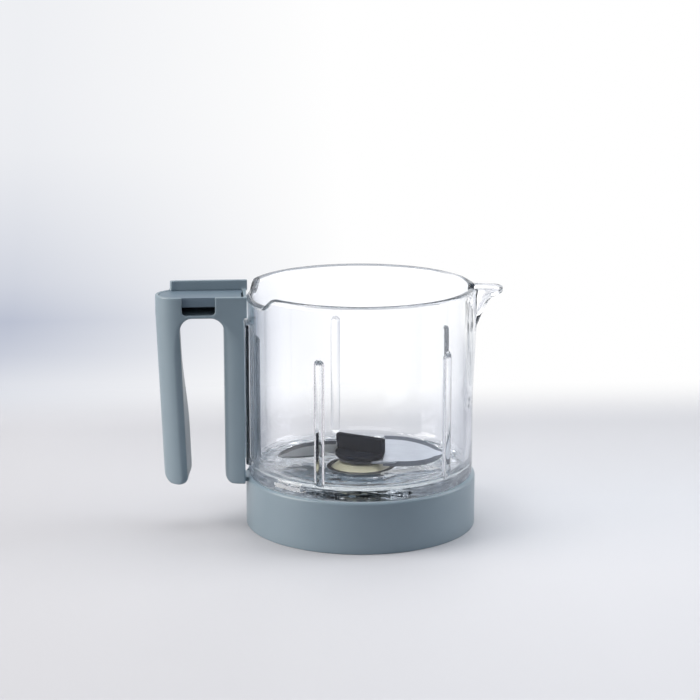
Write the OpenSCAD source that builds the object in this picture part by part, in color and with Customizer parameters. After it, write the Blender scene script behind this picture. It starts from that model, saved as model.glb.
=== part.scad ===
// Blending bowl of a baby food maker: a glass jug on a plastic base ring, a two-legged handle with a
// lid catch and interlock rod, and a lift-out blade unit held by a wing nut under the floor.
// The origin is on the bowl's axis in the plane the base ring stands on. The handle points to -X.

/* [Glass bowl] */
// Outer radius of the glass wall
glass_r = 66.3; // [62:0.1:72]
// Thickness of the glass wall
glass_wall = 3.4; // [2.8:0.1:4.2]
// Height of the glass rim above the standing plane
rim_z = 143.3; // [130:0.1:160]
// How far the rim bead stands out from the wall
rim_proud = 0.7; // [0.3:0.1:1.2]
// Thickness of the glass floor
floor_t = 6.5; // [5.5:0.1:8]
// Radius of the inner corner between floor and wall
floor_fillet = 9; // [5:0.5:12]
// Radius of the hole that the bearing housing passes through
floor_hole_r = 14; // [13.8:0.1:15]
// Radius of the shallow recess around the hole
recess_r = 20.3; // [19.4:0.1:24]
// Depth of that recess
recess_depth = 2.5; // [1.5:0.1:3]
// Number of mixing ribs inside the wall
rib_count = 5; // [3:1:6]
// Radius of a mixing rib's rounded face
rib_r = 3; // [2:0.1:3.1]
// Height of the rim above the ribs' domed tops
rib_drop = 31.8; // [25:0.1:60]

/* [Spout] */
// Direction of the spout, measured from +X about the bowl's axis
spout_angle = -8; // [-20:1:20]
// How far the spout's tip stands out from the glass wall
spout_reach = 16.7; // [12:0.1:22]
// Width of the spout where it leaves the wall
spout_w = 30; // [24:1:34]
// Width of the spout close to its tip
spout_tip_w = 18; // [14:0.5:20]
// Height over which the spout's keel fades into the wall
keel_h = 62; // [45:1:80]
// Height of the lip's blunt end at the tip
lip_h = 3.4; // [2.5:0.1:4.5]
// Thickness of the spout's lip
lip_t = 2.6; // [2:0.1:3.5]

/* [Rim notch] */
// Depth of the notch that the lid's tab swings through
notch_depth = 5.7; // [3:0.1:7]
// Reach of the notch floor on the -Y side of the handle
notch_near = 31.6; // [20:0.1:38]
// Reach of the notch floor on the +Y side of the handle
notch_far = 17; // [15:0.1:24]
// Sideways run of each sloping end of the notch
notch_run = 8.6; // [6:0.1:12]

/* [Base ring] */
// Outer radius of the base ring
base_r = 68; // [67.6:0.1:76]
// Height of the base ring
base_h = 30.6; // [29:0.1:36]
// Thickness of the ring's outer wall
base_wall = 2.4; // [2:0.1:3.2]
// Radius of the ring's outer top edge
base_edge_r = 1.8; // [0.6:0.1:2]
// Thickness of the shelf that carries the glass
shelf_t = 2.5; // [2:0.1:3]
// Number of radial ribs under the shelf
shelf_rib_count = 9; // [6:1:12]
// Number of bayonet lugs inside the skirt
lug_count = 3; // [2:1:4]
// Thickness of the foot gasket between ring and glass
foot_gasket_t = 1; // [0.6:0.1:1.5]

/* [Handle] */
// Distance of the handle's outer end from the bowl's axis
handle_reach = 119.8; // [112:0.1:132]
// Width of the handle
handle_w = 27.5; // [24:0.5:34]
// Height of the glass rim above the handle's top
handle_drop = 4; // [2.5:0.1:6]
// Height of the legs' ends above the standing plane
leg_end_z = 27; // [24:0.1:27]
// Thickness of the outer leg, which is the grip
grip_t = 14.2; // [13:0.1:20]
// Inward lean of the grip in degrees
grip_lean = 2.1; // [0:0.1:4]
// How far the grip's finger side bulges
grip_bulge = 1.2; // [0.5:0.1:2.5]
// Thickness of the inner leg beside the glass
post_t = 11.6; // [10.5:0.1:14]
// Depth of the bridge that joins the two legs
bridge_t = 12.4; // [11.6:0.1:16]
// Wall thickness of the bridge's tray
tray_wall = 2; // [1.5:0.1:2.6]
// Radius under the bridge, where the fingers pass
finger_r = 8; // [4:0.5:10]
// Width of the ledge in the tray that carries the catch plate
tray_ledge = 1.6; // [1:0.1:2]
// Height of the lid's stop wall above the bridge
stop_h = 5.4; // [3:0.1:8]

/* [Lid catch] */
// Thickness of the catch plate in the tray
catch_t = 5.4; // [4:0.1:6]
// Width of the window where the lid's hook enters
window_w = 19.2; // [14:0.1:24]
// Distance of the window's middle from the bowl's axis
window_x = 94.8; // [93:0.1:97]

/* [Interlock] */
// Radius of the interlock rod's head
rod_r = 3.4; // [2.9:0.1:3.6]
// Radius of the rod's thin lower end
rod_tip_r = 2; // [1.6:0.1:2.1]
// Travel of the interlock rod
rod_travel = 3.5; // [2:0.1:3.6]
// Wire radius of the return spring
spring_wire_r = 0.35; // [0.2:0.05:0.4]
// Working turns of the return spring
spring_turns = 7; // [4:1:9]

/* [Blade unit] */
// Outer radius of the bearing housing's flange
flange_r = 17.3; // [16.5:0.1:18.5]
// Height of the flange above its gasket
flange_h = 4; // [3.6:0.1:5]
// Radius of the housing's shank
shank_r = 13.6; // [13:0.05:13.7]
// Radius of the spindle
spindle_r = 4; // [3:0.05:4.4]
// Length of a bearing bush
bush_l = 3.9; // [3:0.1:4]
// Outer radius of a bearing bush
bush_r = 7; // [6:0.1:7.5]
// Outer radius of the drive coupling
coupling_r = 9.8; // [9:0.1:10]
// Height of the coupling's mouth above the standing plane
coupling_z = 13.4; // [12.8:0.1:14.5]
// Depth of the coupling's drive socket
socket_depth = 5.5; // [4:0.1:6]

/* [Blade] */
// Radius of the blade's tips
blade_r = 49; // [44:0.5:53]
// Thickness of the blade's plate
blade_t = 1.5; // [1:0.1:2]
// Width of an arm at its root
arm_w = 22; // [16:0.5:23]
// Pitch of an arm at its root in degrees
arm_pitch = 34; // [20:1:40]
// Further pitch gained towards the tip in degrees
arm_twist = 10; // [0:1:20]
// Angle of the blade at rest about the bowl's axis
blade_angle = -4; // [-30:1:30]

/* [Grip on the blade] */
// Radius of the hub
hub_r = 15; // [13.5:0.1:16]
// Height of the hub
hub_h = 3.6; // [3:0.1:5]
// Length of the finger grip
fin_l = 31; // [24:0.5:31]
// Thickness of the finger grip
fin_t = 4.8; // [4.6:0.1:7]
// Height of the finger grip above the hub
fin_h = 8.8; // [8:0.1:14]
// Angle of the grip from the blade in degrees
fin_angle = -30; // [-40:1:-20]

/* [Wing nut] */
// Outer radius of the nut's collar
nut_r = 21.5; // [19:0.1:24]
// Radius of the tips of its wings
wing_r = 30; // [26:0.5:32]
// Number of wings
wing_count = 4; // [2:1:6]

/* [Clearances] */
// Radial clearance of a running fit
running_gap = 0.05; // [0.02:0.01:0.08]
// Gap between pieces that move past each other
moving_gap = 0.4; // [0.3:0.05:0.6]
// Gap between fixed pieces that are slipped together
slip_gap = 0.2; // [0.1:0.05:0.3]

/* [Hidden] */
$fn = 72;

slate = "slategray";
through = 1;

// Glass levels, from the base ring up
flange_z = base_h + 0.1;
land_z = flange_z - foot_gasket_t;
under_drop = 3.2;
under_z = flange_z - under_drop;
floor_z = under_z + floor_t;
recess_z = floor_z - recess_depth;
plug_step = 14.6;
under_r = base_r - base_wall - plug_step;
in_r = glass_r - glass_wall;
bead_r = (glass_wall + rim_proud) / 2;
foot_fillet = 1.2;
rib_top_z = rim_z - rib_drop - rib_r;
rib_sink = 0.3;
boss_t = 1.9;
boss_w = 22;
boss_z = 38;
boss_top_z = rim_z - 20;
notch_z = rim_z - notch_depth;

// Base ring levels
shelf_z = under_z - moving_gap;
shelf_under_z = shelf_z - shelf_t;
base_in_r = base_r - base_wall;
land_r = under_r + slip_gap * 3;
shelf_hole_r = floor_hole_r + moving_gap;
lug_z = 14;
lug_h = 4;
lug_depth = 3;
lug_sweep = 28;
shelf_rib_t = 1.6;
shelf_rib_h = 5;

// Handle places
handle_top_z = rim_z - handle_drop;
bridge_z = handle_top_z - bridge_t;
tray_floor_z = bridge_z + 1.7;
tray_back = glass_r + 0.5;
pad_t = 0.5;
post_back = max(glass_r + boss_t + pad_t, base_r + moving_gap);
post_front = post_back + post_t;
post_corner_r = 5.5;
grip_corner_r = 1;
leg_end_r = 4;
stop_t = 2.8;
window_corner_r = 1.6;
stop_start = handle_reach - 8.4;
slot_w = 1.3;
slot_l = 13;
slot_y = -10.5;
catch_z = handle_top_z - 0.5 - catch_t;
stop_z = catch_z + catch_t + slip_gap;

// Tongue and screws that hold the handle to the base ring
tongue_w = 16;
tongue_l = 12;
tongue_z = shelf_z;
tongue_t = land_z - slip_gap / 2 - tongue_z;
screw_r = 1.45;
screw_head_r = 2.7;
screw_head_h = 1.8;
screw_x = base_in_r - 6;
screw_pitch = 9;
screw_tip_z = tongue_z + tongue_t - 0.6;

// Interlock rod in the inner leg
rod_x = post_back + post_t / 2;
rod_bore_r = rod_r + running_gap + 0.03;
rod_top_z = catch_z - 0.8;
guide_r = rod_bore_r + 1.1;
guide_h = 9;
guide_z = leg_end_z + 1;
rod_end_z = guide_z + 1;
spring_z = guide_z + guide_h;
spring_h = 19;
shoulder_z = spring_z + spring_h + running_gap;
spring_mean_r = (rod_tip_r + rod_bore_r) / 2;

// Blade unit stack, from the floor's recess up
housing_gasket_t = 0.9;
flange_z0 = recess_z + housing_gasket_t;
flange_lip = 0.6;
flange_top_z = flange_z0 + flange_h;
flange_top_r = flange_r - 4.3;
shank_end_z = coupling_z - 0.4;
coupling_bore_r = coupling_r + moving_gap;
seal_r = bush_r + 1.5;
seal_h = 3;
seal_z = flange_top_z - seal_h - slip_gap;
upper_bush_z = seal_z - slip_gap - bush_l;
lower_bush_z = upper_bush_z - slip_gap - bush_l;
bearing_lip_z = lower_bush_z - 1.2;
bearing_lip_r = spindle_r + 1.4;
washer_t = 0.7;
washer_z = bearing_lip_z - running_gap - washer_t;
circlip_t = 0.7;
circlip_z = washer_z - running_gap - circlip_t;
groove_depth = 0.6;
coupling_top_z = circlip_z - slip_gap;
spindle_z = coupling_z + socket_depth + slip_gap;
socket_r = 5;
socket_teeth = 6;
socket_tooth = 1.5;

// Blade and grip stack, above the housing
blade_washer_t = 1.2;
blade_washer_z = flange_top_z + moving_gap;
plate_z = blade_washer_z + blade_washer_t;
plate_r = 13;
plate_wing_x = 23;
plate_wing_y = 12.4;
plate_inner_y = 3;
hub_z = plate_z + blade_t;
fin_z = hub_z + hub_h;
fin_top_z = fin_z + fin_h;
spindle_top_z = fin_z - 0.8;
stud_r = 1.6;
stud_top_z = fin_top_z - 2.4;
arm_root_x = 13;
arm_steps = 14;
arm_mid_rise = 5.6;
arm_droop = 3.4;
arm_back = 3.3;
arm_sweep = 5.3;
edge_land = 0.35;

// Wing nut
nut_gasket_t = 0.8;
nut_top_z = shelf_under_z - nut_gasket_t - slip_gap;
nut_end_z = coupling_z + 0.8;
nut_collar_h = 2.4;
nut_bore_r = shank_r + running_gap;
nut_wall = 3.6;
wing_t = 4;

function arc(c, r, from, to, steps) =
    [for (i = [0:steps]) c + r * [cos(from + (to - from) * i / steps), sin(from + (to - from) * i / steps)]];

// Half section of the glass, drawn as radius and height
function glass_section() = concat(
    [[floor_hole_r, under_z], [under_r, under_z], [under_r, flange_z]],
    arc([glass_r - foot_fillet, flange_z + foot_fillet], foot_fillet, -90, 0, 4),
    [[glass_r, rim_z - bead_r - 3 * rim_proud]],
    arc([in_r + bead_r, rim_z - bead_r], bead_r, 0, 180, 14),
    arc([in_r - floor_fillet, floor_z + floor_fillet], floor_fillet, 0, -90, 10),
    [[recess_r, floor_z], [recess_r, recess_z], [floor_hole_r, recess_z]]
);

// Outline of the spout and its keel, seen from the side: a blunt lip, a hollow curve and a long faint ridge
keel_line = [[0.75, 0.032], [0.57, 0.07], [0.43, 0.14], [0.29, 0.2], [0.165, 0.26], [0.1, 0.42], [0.06, 0.62], [0.02, 0.9]];
function keel_side(inset, x0) = concat(
    [[x0, rim_z + inset], [glass_r + spout_reach - inset, rim_z + inset]],
    [[glass_r + spout_reach - inset - 0.3, rim_z - lip_h + inset / 2]],
    [for (p = keel_line) [glass_r + spout_reach * p[0] - inset, rim_z - lip_h - (keel_h - lip_h) * p[1] + inset / 2]],
    [[glass_r - inset, rim_z - keel_h], [x0, rim_z - keel_h]]
);

// Outline of the spout seen from above: a flared root, straight sides and a blunt round tip
function spout_plan(inset) =
    let (side = spout_tip_w / 2, tip_r = 5, tip_x = glass_r + spout_reach - tip_r, corner_y = side - tip_r)
    concat(
        [[0, -spout_w / 2 + inset], [glass_r - 2, -spout_w / 2 + inset]],
        [[glass_r + 1.2, -side - 2 + inset], [glass_r + 4.5, -side - 0.3 + inset]],
        arc([tip_x, -corner_y], tip_r - inset, -85, -12, 6),
        arc([tip_x, corner_y], tip_r - inset, 12, 85, 6),
        [[glass_r + 4.5, side + 0.3 - inset], [glass_r + 1.2, side + 2 - inset]],
        [[glass_r - 2, spout_w / 2 - inset], [0, spout_w / 2 - inset]]
    );

// Front of the spout, a vee with a narrow foot
function keel_front(inset) = [
    [-spout_w / 2 + inset, rim_z + through], [-spout_w / 2 + inset, rim_z - 1],
    [-spout_w * 0.27 + inset, rim_z - keel_h * 0.14], [-2.5 + inset / 2, rim_z - keel_h * 0.36],
    [-2 + inset / 2, rim_z - keel_h + inset], [2 - inset / 2, rim_z - keel_h + inset],
    [2.5 - inset / 2, rim_z - keel_h * 0.36], [spout_w * 0.27 - inset, rim_z - keel_h * 0.14],
    [spout_w / 2 - inset, rim_z - 1], [spout_w / 2 - inset, rim_z + through]
];

module spout_body(inset, x0) {
    intersection() {
        rotate([90, 0, 0])
            linear_extrude(spout_w + 2 * through, center = true)
                polygon(keel_side(inset, x0));
        translate([0, 0, rim_z - keel_h - through])
            linear_extrude(keel_h + 4 * through)
                polygon(spout_plan(inset));
        rotate([90, 0, 90])
            linear_extrude(glass_r + spout_reach + through)
                polygon(keel_front(inset));
    }
}

// Prism that opens the rim for the lid's tab, with a slope at each end
module notch_cut() {
    rise = notch_depth + through;
    run = notch_run * rise / notch_depth;
    translate([-glass_r - 2 * bead_r, 0, 0])
        rotate([90, 0, 90])
            linear_extrude(glass_r * 0.4)
                polygon([
                    [-notch_near, notch_z], [notch_far, notch_z],
                    [notch_far + run, notch_z + rise], [-notch_near - run, notch_z + rise]
                ]);
}

module mixing_rib() {
    translate([in_r + rib_sink, 0, floor_z - through]) {
        cylinder(h = rib_top_z - floor_z + through, r = rib_r);
        translate([0, 0, rib_top_z - floor_z + through])
            sphere(r = rib_r);
    }
}

module glass_bowl() {
    color("lightcyan", 0.35)
        difference() {
            union() {
                rotate_extrude($fn = 144)
                    polygon(glass_section());
                rotate([0, 0, spout_angle]) {
                    spout_body(0, in_r + 1);
                    for (i = [0:rib_count - 1])
                        rotate([0, 0, (i + 0.5) * 360 / rib_count])
                            mixing_rib();
                }
                translate([-glass_r - boss_t, -boss_w / 2, boss_z])
                    cube([boss_t + glass_wall - 1.2, boss_w, boss_top_z - boss_z]);
            }
            rotate([0, 0, spout_angle])
                spout_body(lip_t, in_r - 6);
            notch_cut();
        }
}

// Half section of the base ring, drawn as radius and height
function ring_section() = concat(
    [[base_r, 0]],
    arc([base_r - base_edge_r, base_h - base_edge_r], base_edge_r, 0, 90, 5),
    [[base_in_r, base_h], [base_in_r, land_z], [land_r, land_z], [land_r, shelf_z]],
    [[shelf_hole_r, shelf_z], [shelf_hole_r, shelf_under_z], [base_in_r, shelf_under_z], [base_in_r, 0]]
);

module screw_places() {
    for (side = [-1, 1])
        translate([-screw_x, side * screw_pitch / 2, 0])
            children();
}

module base_ring() {
    color(slate)
        difference() {
            union() {
                rotate_extrude($fn = 144)
                    polygon(ring_section());
                for (i = [0:lug_count - 1])
                    rotate([0, 0, i * 360 / lug_count + 30])
                        rotate_extrude(angle = lug_sweep)
                            translate([base_in_r - lug_depth, lug_z])
                                square([lug_depth + base_wall / 2, lug_h]);
                for (i = [0:shelf_rib_count - 1])
                    rotate([0, 0, i * 360 / shelf_rib_count])
                        translate([wing_r + 3, -shelf_rib_t / 2, shelf_under_z - shelf_rib_h])
                            cube([base_in_r - wing_r - 2, shelf_rib_t, shelf_rib_h + shelf_t / 2]);
            }
            translate([-base_r - through, -tongue_w / 2 - slip_gap, tongue_z])
                cube([base_wall + tongue_l + 2 * through, tongue_w + 2 * slip_gap, base_h - tongue_z + through]);
            screw_places()
                translate([0, 0, shelf_under_z - through])
                    cylinder(h = shelf_t + 2 * through, r = screw_r + slip_gap);
        }
}

module foot_gasket() {
    color("whitesmoke")
        translate([0, 0, land_z])
            difference() {
                cylinder(h = foot_gasket_t, r = base_in_r - 1.4, $fn = 144);
                translate([0, 0, -through])
                    cylinder(h = foot_gasket_t + 2 * through, r = land_r + 1, $fn = 144);
            }
}

// Plan of the handle: a half-round outer end and straight sides
module handle_plan(reach, back, w) {
    translate([-(reach - w / 2), 0])
        circle(r = w / 2);
    translate([-(reach - w / 2), -w / 2])
        square([reach - w / 2 - back, w]);
}

// Section of the grip: half round outside, gently bulging towards the fingers
module grip_section() {
    half = handle_w / 2 - slip_gap;
    inner_x = grip_t - handle_w / 2;
    side_y = half - grip_corner_r;
    bulge_r = (side_y * side_y + grip_bulge * grip_bulge) / (2 * grip_bulge);
    spread = asin(side_y / bulge_r);
    polygon(concat(
        arc([0, 0], half, 90, 270, 24),
        arc([inner_x - bulge_r, 0], bulge_r, -spread, spread, 10)
    ));
}

// Section of the inner leg: flat towards the glass, soft towards the fingers
module post_section() {
    half = handle_w / 2;
    polygon(concat(
        [[-post_back, -half], [-post_back, half]],
        arc([-post_front + post_corner_r, half - post_corner_r], post_corner_r, 90, 180, 8),
        arc([-post_front + post_corner_r, -half + post_corner_r], post_corner_r, 180, 270, 8)
    ));
}

module grip_leg() {
    centre_x = -(handle_reach - handle_w / 2);
    length = bridge_z - leg_end_z + 2;
    lean_run = length * tan(grip_lean);
    grip_end_x = lean_run - handle_reach - moving_gap;
    intersection() {
        translate([centre_x, 0, bridge_z + 2])
            rotate([0, -grip_lean, 0])
                translate([0, 0, -length - 4])
                    linear_extrude(length + 8)
                        grip_section();
        translate([grip_end_x, handle_w, 0])
            rotate([90, 0, 0])
                linear_extrude(2 * handle_w)
                    leg_side(grip_t + 2 * moving_gap, lean_run, leg_end_z, bridge_z + 2);
    }
}

// Side of a leg that leans inwards, with two round lower corners
module leg_side(w, run, z0, z1) {
    polygon(concat(
        [[w, z1], [-run - 1, z1]],
        arc([leg_end_r + 3, z0 + leg_end_r + 3], leg_end_r + 3, 180, 270, 8),
        arc([w - leg_end_r, z0 + leg_end_r], leg_end_r, -90, 0, 6)
    ));
}

module inner_post() {
    intersection() {
        translate([0, 0, leg_end_z])
            linear_extrude(bridge_z - leg_end_z + 2)
                post_section();
        translate([-post_front, handle_w, 0])
            rotate([90, 0, 0])
                linear_extrude(2 * handle_w)
                    polygon(concat(
                        [[post_t, bridge_z + 3], [0, bridge_z + 3]],
                        arc([leg_end_r + 1, leg_end_z + leg_end_r + 1], leg_end_r + 1, 180, 270, 8),
                        [[post_t, leg_end_z]]
                    ));
    }
}

// Curved web in an upper corner of the finger opening
module finger_gusset(x, side) {
    w = handle_w - 2 * post_corner_r - slip_gap;
    root = side > 0 ? 3 : 1;
    translate([x, w / 2, bridge_z + 0.5])
        rotate([90, 0, 0])
            linear_extrude(w)
                difference() {
                    translate([side > 0 ? -root : -finger_r, -finger_r - 0.5])
                        square([finger_r + root, finger_r + 0.5]);
                    translate([side * finger_r, -finger_r - 0.5])
                        circle(r = finger_r);
                }
}

module stop_wall() {
    translate([0, 0, stop_z])
        linear_extrude(handle_top_z + stop_h - stop_z)
            intersection() {
                difference() {
                    handle_plan(handle_reach, tray_back - 1, handle_w);
                    handle_plan(handle_reach - stop_t, tray_back - 2, handle_w - 2 * stop_t);
                }
                translate([-stop_start, 0])
                    square([stop_start, handle_w]);
            }
}

module tray_cut(z, inset) {
    translate([0, 0, z])
        linear_extrude(bridge_t)
            handle_plan(handle_reach - inset, tray_back + inset, handle_w - 2 * inset);
}

module window_cut() {
    translate([-window_x - window_w / 2, -handle_w / 2 - through, tray_floor_z])
        rotate([90, 0, 0])
            mirror([0, 0, 1])
                linear_extrude(tray_wall + tray_ledge + 2 * through)
                    polygon(concat(
                        [[window_w, bridge_t], [0, bridge_t]],
                        arc([window_corner_r, window_corner_r], window_corner_r, 180, 270, 5),
                        arc([window_w - window_corner_r, window_corner_r], window_corner_r, -90, 0, 5)
                    ));
}

module handle_shell() {
    grip_inner_x = handle_reach - grip_t - 0.4;
    color(slate)
        difference() {
            union() {
                translate([0, 0, bridge_z])
                    linear_extrude(bridge_t)
                        handle_plan(handle_reach, tray_back, handle_w);
                grip_leg();
                inner_post();
                finger_gusset(-grip_inner_x, 1);
                finger_gusset(-post_front, -1);
                translate([-post_back - through, -tongue_w / 2, tongue_z])
                    cube([post_back - base_in_r + tongue_l + through, tongue_w, tongue_t]);
            }
            tray_cut(tray_floor_z, tray_wall + tray_ledge);
            tray_cut(catch_z, tray_wall);
            window_cut();
            translate([-rod_x, 0, leg_end_z])
                cylinder(h = tray_floor_z - leg_end_z + through, r = rod_bore_r);
            translate([-rod_x, 0, leg_end_z - through])
                cylinder(h = guide_z + guide_h - leg_end_z + through, r = guide_r);
            screw_places()
                translate([0, 0, tongue_z - through])
                    cylinder(h = screw_tip_z - tongue_z + through, r = screw_r);
        }
    color(slate)
        stop_wall();
}

module handle_bond_pad() {
    color("gainsboro")
        translate([-post_back, -boss_w / 2 + 2, boss_z + 4])
            cube([post_back - glass_r - boss_t, boss_w - 4, boss_top_z - boss_z - 8]);
}

module handle_screws() {
    color("silver")
        screw_places()
            translate([0, 0, shelf_under_z]) {
                cylinder(h = screw_tip_z - shelf_under_z, r = screw_r);
                translate([0, 0, -screw_head_h])
                    cylinder(h = screw_head_h, r = screw_head_r);
            }
}

module lid_catch() {
    inner = tray_wall + slip_gap;
    color(slate)
        translate([0, 0, catch_z])
            difference() {
                linear_extrude(catch_t)
                    handle_plan(handle_reach - inner, tray_back + inner, handle_w - 2 * inner);
                translate([-tray_back - inner - slot_w, slot_y, -through])
                    cube([slot_w + through, slot_l, catch_t + 2 * through]);
            }
}

module interlock_rod() {
    color("ivory")
        translate([-rod_x, 0, 0]) {
            translate([0, 0, shoulder_z])
                cylinder(h = rod_top_z - rod_r / 2 - shoulder_z, r = rod_r);
            translate([0, 0, rod_top_z - rod_r / 2])
                cylinder(h = rod_r / 2, r1 = rod_r, r2 = rod_r / 2);
            translate([0, 0, rod_end_z])
                cylinder(h = shoulder_z - rod_end_z, r = rod_tip_r);
        }
}

// Points of one ring of the spring's wire, square to the bowl's axis plane
function wire_ring(angle, z, sides) =
    [for (k = [0:sides - 1]) let (a = 360 * k / sides)
        [(spring_mean_r + spring_wire_r * cos(a)) * cos(angle),
         (spring_mean_r + spring_wire_r * cos(a)) * sin(angle),
         z + spring_wire_r * sin(a)]];

module interlock_spring() {
    sides = 8;
    per_turn = 16;
    rings = spring_turns * per_turn;
    rise = (spring_h - 2 * spring_wire_r) / rings;
    points = [for (i = [0:rings]) each wire_ring(360 * i / per_turn, spring_wire_r + rise * i, sides)];
    walls = [for (i = [0:rings - 1]) for (k = [0:sides - 1]) let (n = (k + 1) % sides)
        [i * sides + k, (i + 1) * sides + k, (i + 1) * sides + n, i * sides + n]];
    start_cap = [[for (k = [0:sides - 1]) k]];
    end_cap = [[for (k = [sides - 1:-1:0]) rings * sides + k]];
    color("silver")
        translate([-rod_x, 0, spring_z])
            polyhedron(points = points, faces = concat(walls, start_cap, end_cap), convexity = 8);
}

module rod_guide() {
    color("dimgray")
        translate([-rod_x, 0, guide_z])
            difference() {
                cylinder(h = guide_h, r = guide_r);
                translate([0, 0, -through])
                    cylinder(h = guide_h + 2 * through, r = rod_tip_r + running_gap);
            }
}

// Half section of the bearing housing, drawn as radius and height
function housing_section() = [
    [coupling_bore_r, shank_end_z], [shank_r, shank_end_z], [shank_r, flange_z0], [flange_r, flange_z0],
    [flange_r, flange_z0 + flange_lip], [flange_top_r, flange_top_z - 0.6], [flange_top_r - 0.6, flange_top_z],
    [seal_r, flange_top_z], [seal_r, seal_z], [bush_r, seal_z], [bush_r, lower_bush_z],
    [bearing_lip_r, lower_bush_z], [bearing_lip_r, bearing_lip_z], [coupling_bore_r, bearing_lip_z]
];

module bearing_housing() {
    color("ivory")
        rotate_extrude()
            polygon(housing_section());
}

module tube(z, h, inner, outer) {
    translate([0, 0, z])
        difference() {
            cylinder(h = h, r = outer);
            translate([0, 0, -through])
                cylinder(h = h + 2 * through, r = inner);
        }
}

module housing_gasket() {
    color("black")
        tube(recess_z, housing_gasket_t, floor_hole_r + 0.3, recess_r - moving_gap);
}

module upper_bush() {
    color("peru")
        tube(upper_bush_z, bush_l, spindle_r + running_gap, bush_r);
}

module lower_bush() {
    color("peru")
        tube(lower_bush_z, bush_l, spindle_r + running_gap, bush_r);
}

module shaft_seal() {
    color("black")
        tube(seal_z, seal_h, spindle_r + running_gap, seal_r);
}

module thrust_washer() {
    color("silver")
        tube(washer_z, washer_t, spindle_r + running_gap, bush_r - 0.4);
}

module circlip() {
    color("silver")
        translate([0, 0, circlip_z])
            rotate([0, 0, 30])
                rotate_extrude(angle = 300)
                    translate([spindle_r - groove_depth, 0])
                        square([groove_depth + 1.8, circlip_t]);
}

module spindle() {
    color("silver") {
        difference() {
            translate([0, 0, spindle_z])
                cylinder(h = spindle_top_z - spindle_z, r = spindle_r);
            tube(circlip_z, circlip_t, spindle_r - groove_depth, spindle_r + through);
        }
        translate([0, 0, spindle_top_z])
            cylinder(h = stud_top_z - spindle_top_z, r = stud_r);
    }
}

module drive_coupling() {
    color("dimgray")
        difference() {
            translate([0, 0, coupling_z])
                cylinder(h = coupling_top_z - coupling_z, r = coupling_r);
            translate([0, 0, coupling_z - through]) {
                cylinder(h = socket_depth + through, r = socket_r);
                for (i = [0:socket_teeth - 1])
                    rotate([0, 0, i * 360 / socket_teeth])
                        translate([0, -socket_tooth / 2, 0])
                            cube([socket_r + socket_tooth, socket_tooth, socket_depth + through]);
            }
            translate([0, 0, spindle_z])
                cylinder(h = coupling_top_z - spindle_z + through, r = spindle_r);
        }
}

// Arm shape along its length, with t from 0 at the root to 1 at the tip
function arm_x(t) = arm_root_x + (blade_r - arm_root_x) * t;
function arm_y(t) = -arm_back + arm_sweep * pow(t, 3);
function arm_z(t) = plate_z + arm_mid_rise - arm_droop * pow(t, 1.5);
function arm_half(t) = arm_w / 2 * pow(max(1 - pow(t, 1.6), 0), 0.85) + 0.25;
function arm_tilt(t) = arm_pitch + arm_twist * t;

// Six-sided section with a ground bevel along both edges
function arm_ring(t) =
    let (half = arm_half(t), thick = blade_t / 2, bevel = min(2.4, half * 0.6), a = arm_tilt(t))
    [for (p = [[-half, -edge_land], [-half + bevel, -thick], [half - bevel, -thick],
               [half, edge_land], [half - bevel, thick], [-half + bevel, thick]])
        [arm_x(t), arm_y(t) + p[0] * cos(a) - p[1] * sin(a), arm_z(t) + p[0] * sin(a) + p[1] * cos(a)]];

module blade_arm() {
    sides = 6;
    points = [for (i = [0:arm_steps]) each arm_ring(i / arm_steps)];
    walls = [for (i = [0:arm_steps - 1]) for (k = [0:sides - 1]) let (n = (k + 1) % sides) each [
        [i * sides + k, (i + 1) * sides + k, (i + 1) * sides + n],
        [i * sides + k, (i + 1) * sides + n, i * sides + n]
    ]];
    root_cap = [[for (k = [0:sides - 1]) k]];
    tip_cap = [[for (k = [sides - 1:-1:0]) arm_steps * sides + k]];
    polyhedron(points = points, faces = concat(walls, root_cap, tip_cap), convexity = 4);
}

// Flat foot that carries an arm out from under the hub
module arm_foot() {
    linear_extrude(blade_t)
        polygon([
            [0, -plate_inner_y], [0, -plate_wing_y], [plate_wing_x - 4, -plate_wing_y + 0.6],
            [plate_wing_x, -plate_wing_y + 3], [plate_wing_x - 3, -plate_inner_y - 3], [plate_r - 2, -plate_inner_y]
        ]);
}

module blade() {
    color("gainsboro")
        rotate([0, 0, blade_angle])
            difference() {
                union() {
                    for (turn = [0, 180])
                        rotate([0, 0, turn]) {
                            translate([0, 0, plate_z])
                                arm_foot();
                            blade_arm();
                        }
                    translate([0, 0, plate_z])
                        cylinder(h = blade_t, r = plate_r);
                }
                translate([0, 0, plate_z - through])
                    cylinder(h = blade_t + 2 * through, r = spindle_r);
                translate([0, 0, hub_z])
                    cylinder(h = hub_h + fin_h + through, r = hub_r + slip_gap);
            }
}

module blade_washer() {
    color("silver")
        tube(blade_washer_z, blade_washer_t, spindle_r, spindle_r + 4);
}

module blade_grip() {
    edge = 0.8;
    color([0.13, 0.14, 0.18])
        rotate([0, 0, blade_angle + fin_angle])
            difference() {
                union() {
                    translate([0, 0, hub_z])
                        rotate_extrude()
                            polygon([
                                [0, 0], [hub_r - 1.6, 0], [hub_r, 1.2], [hub_r, hub_h - edge],
                                [hub_r - edge, hub_h], [0, hub_h]
                            ]);
                    translate([0, 0, fin_z - 0.5])
                        intersection() {
                            translate([-fin_l / 2, -fin_t / 2, 0])
                                cube([fin_l, fin_t, fin_h + 0.5]);
                            cylinder(h = fin_h + 0.5, r = fin_l / 2);
                        }
                }
                translate([0, 0, hub_z - through])
                    cylinder(h = spindle_top_z - hub_z + through, r = spindle_r);
                translate([0, 0, hub_z])
                    cylinder(h = stud_top_z - hub_z, r = stud_r);
            }
}

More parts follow.
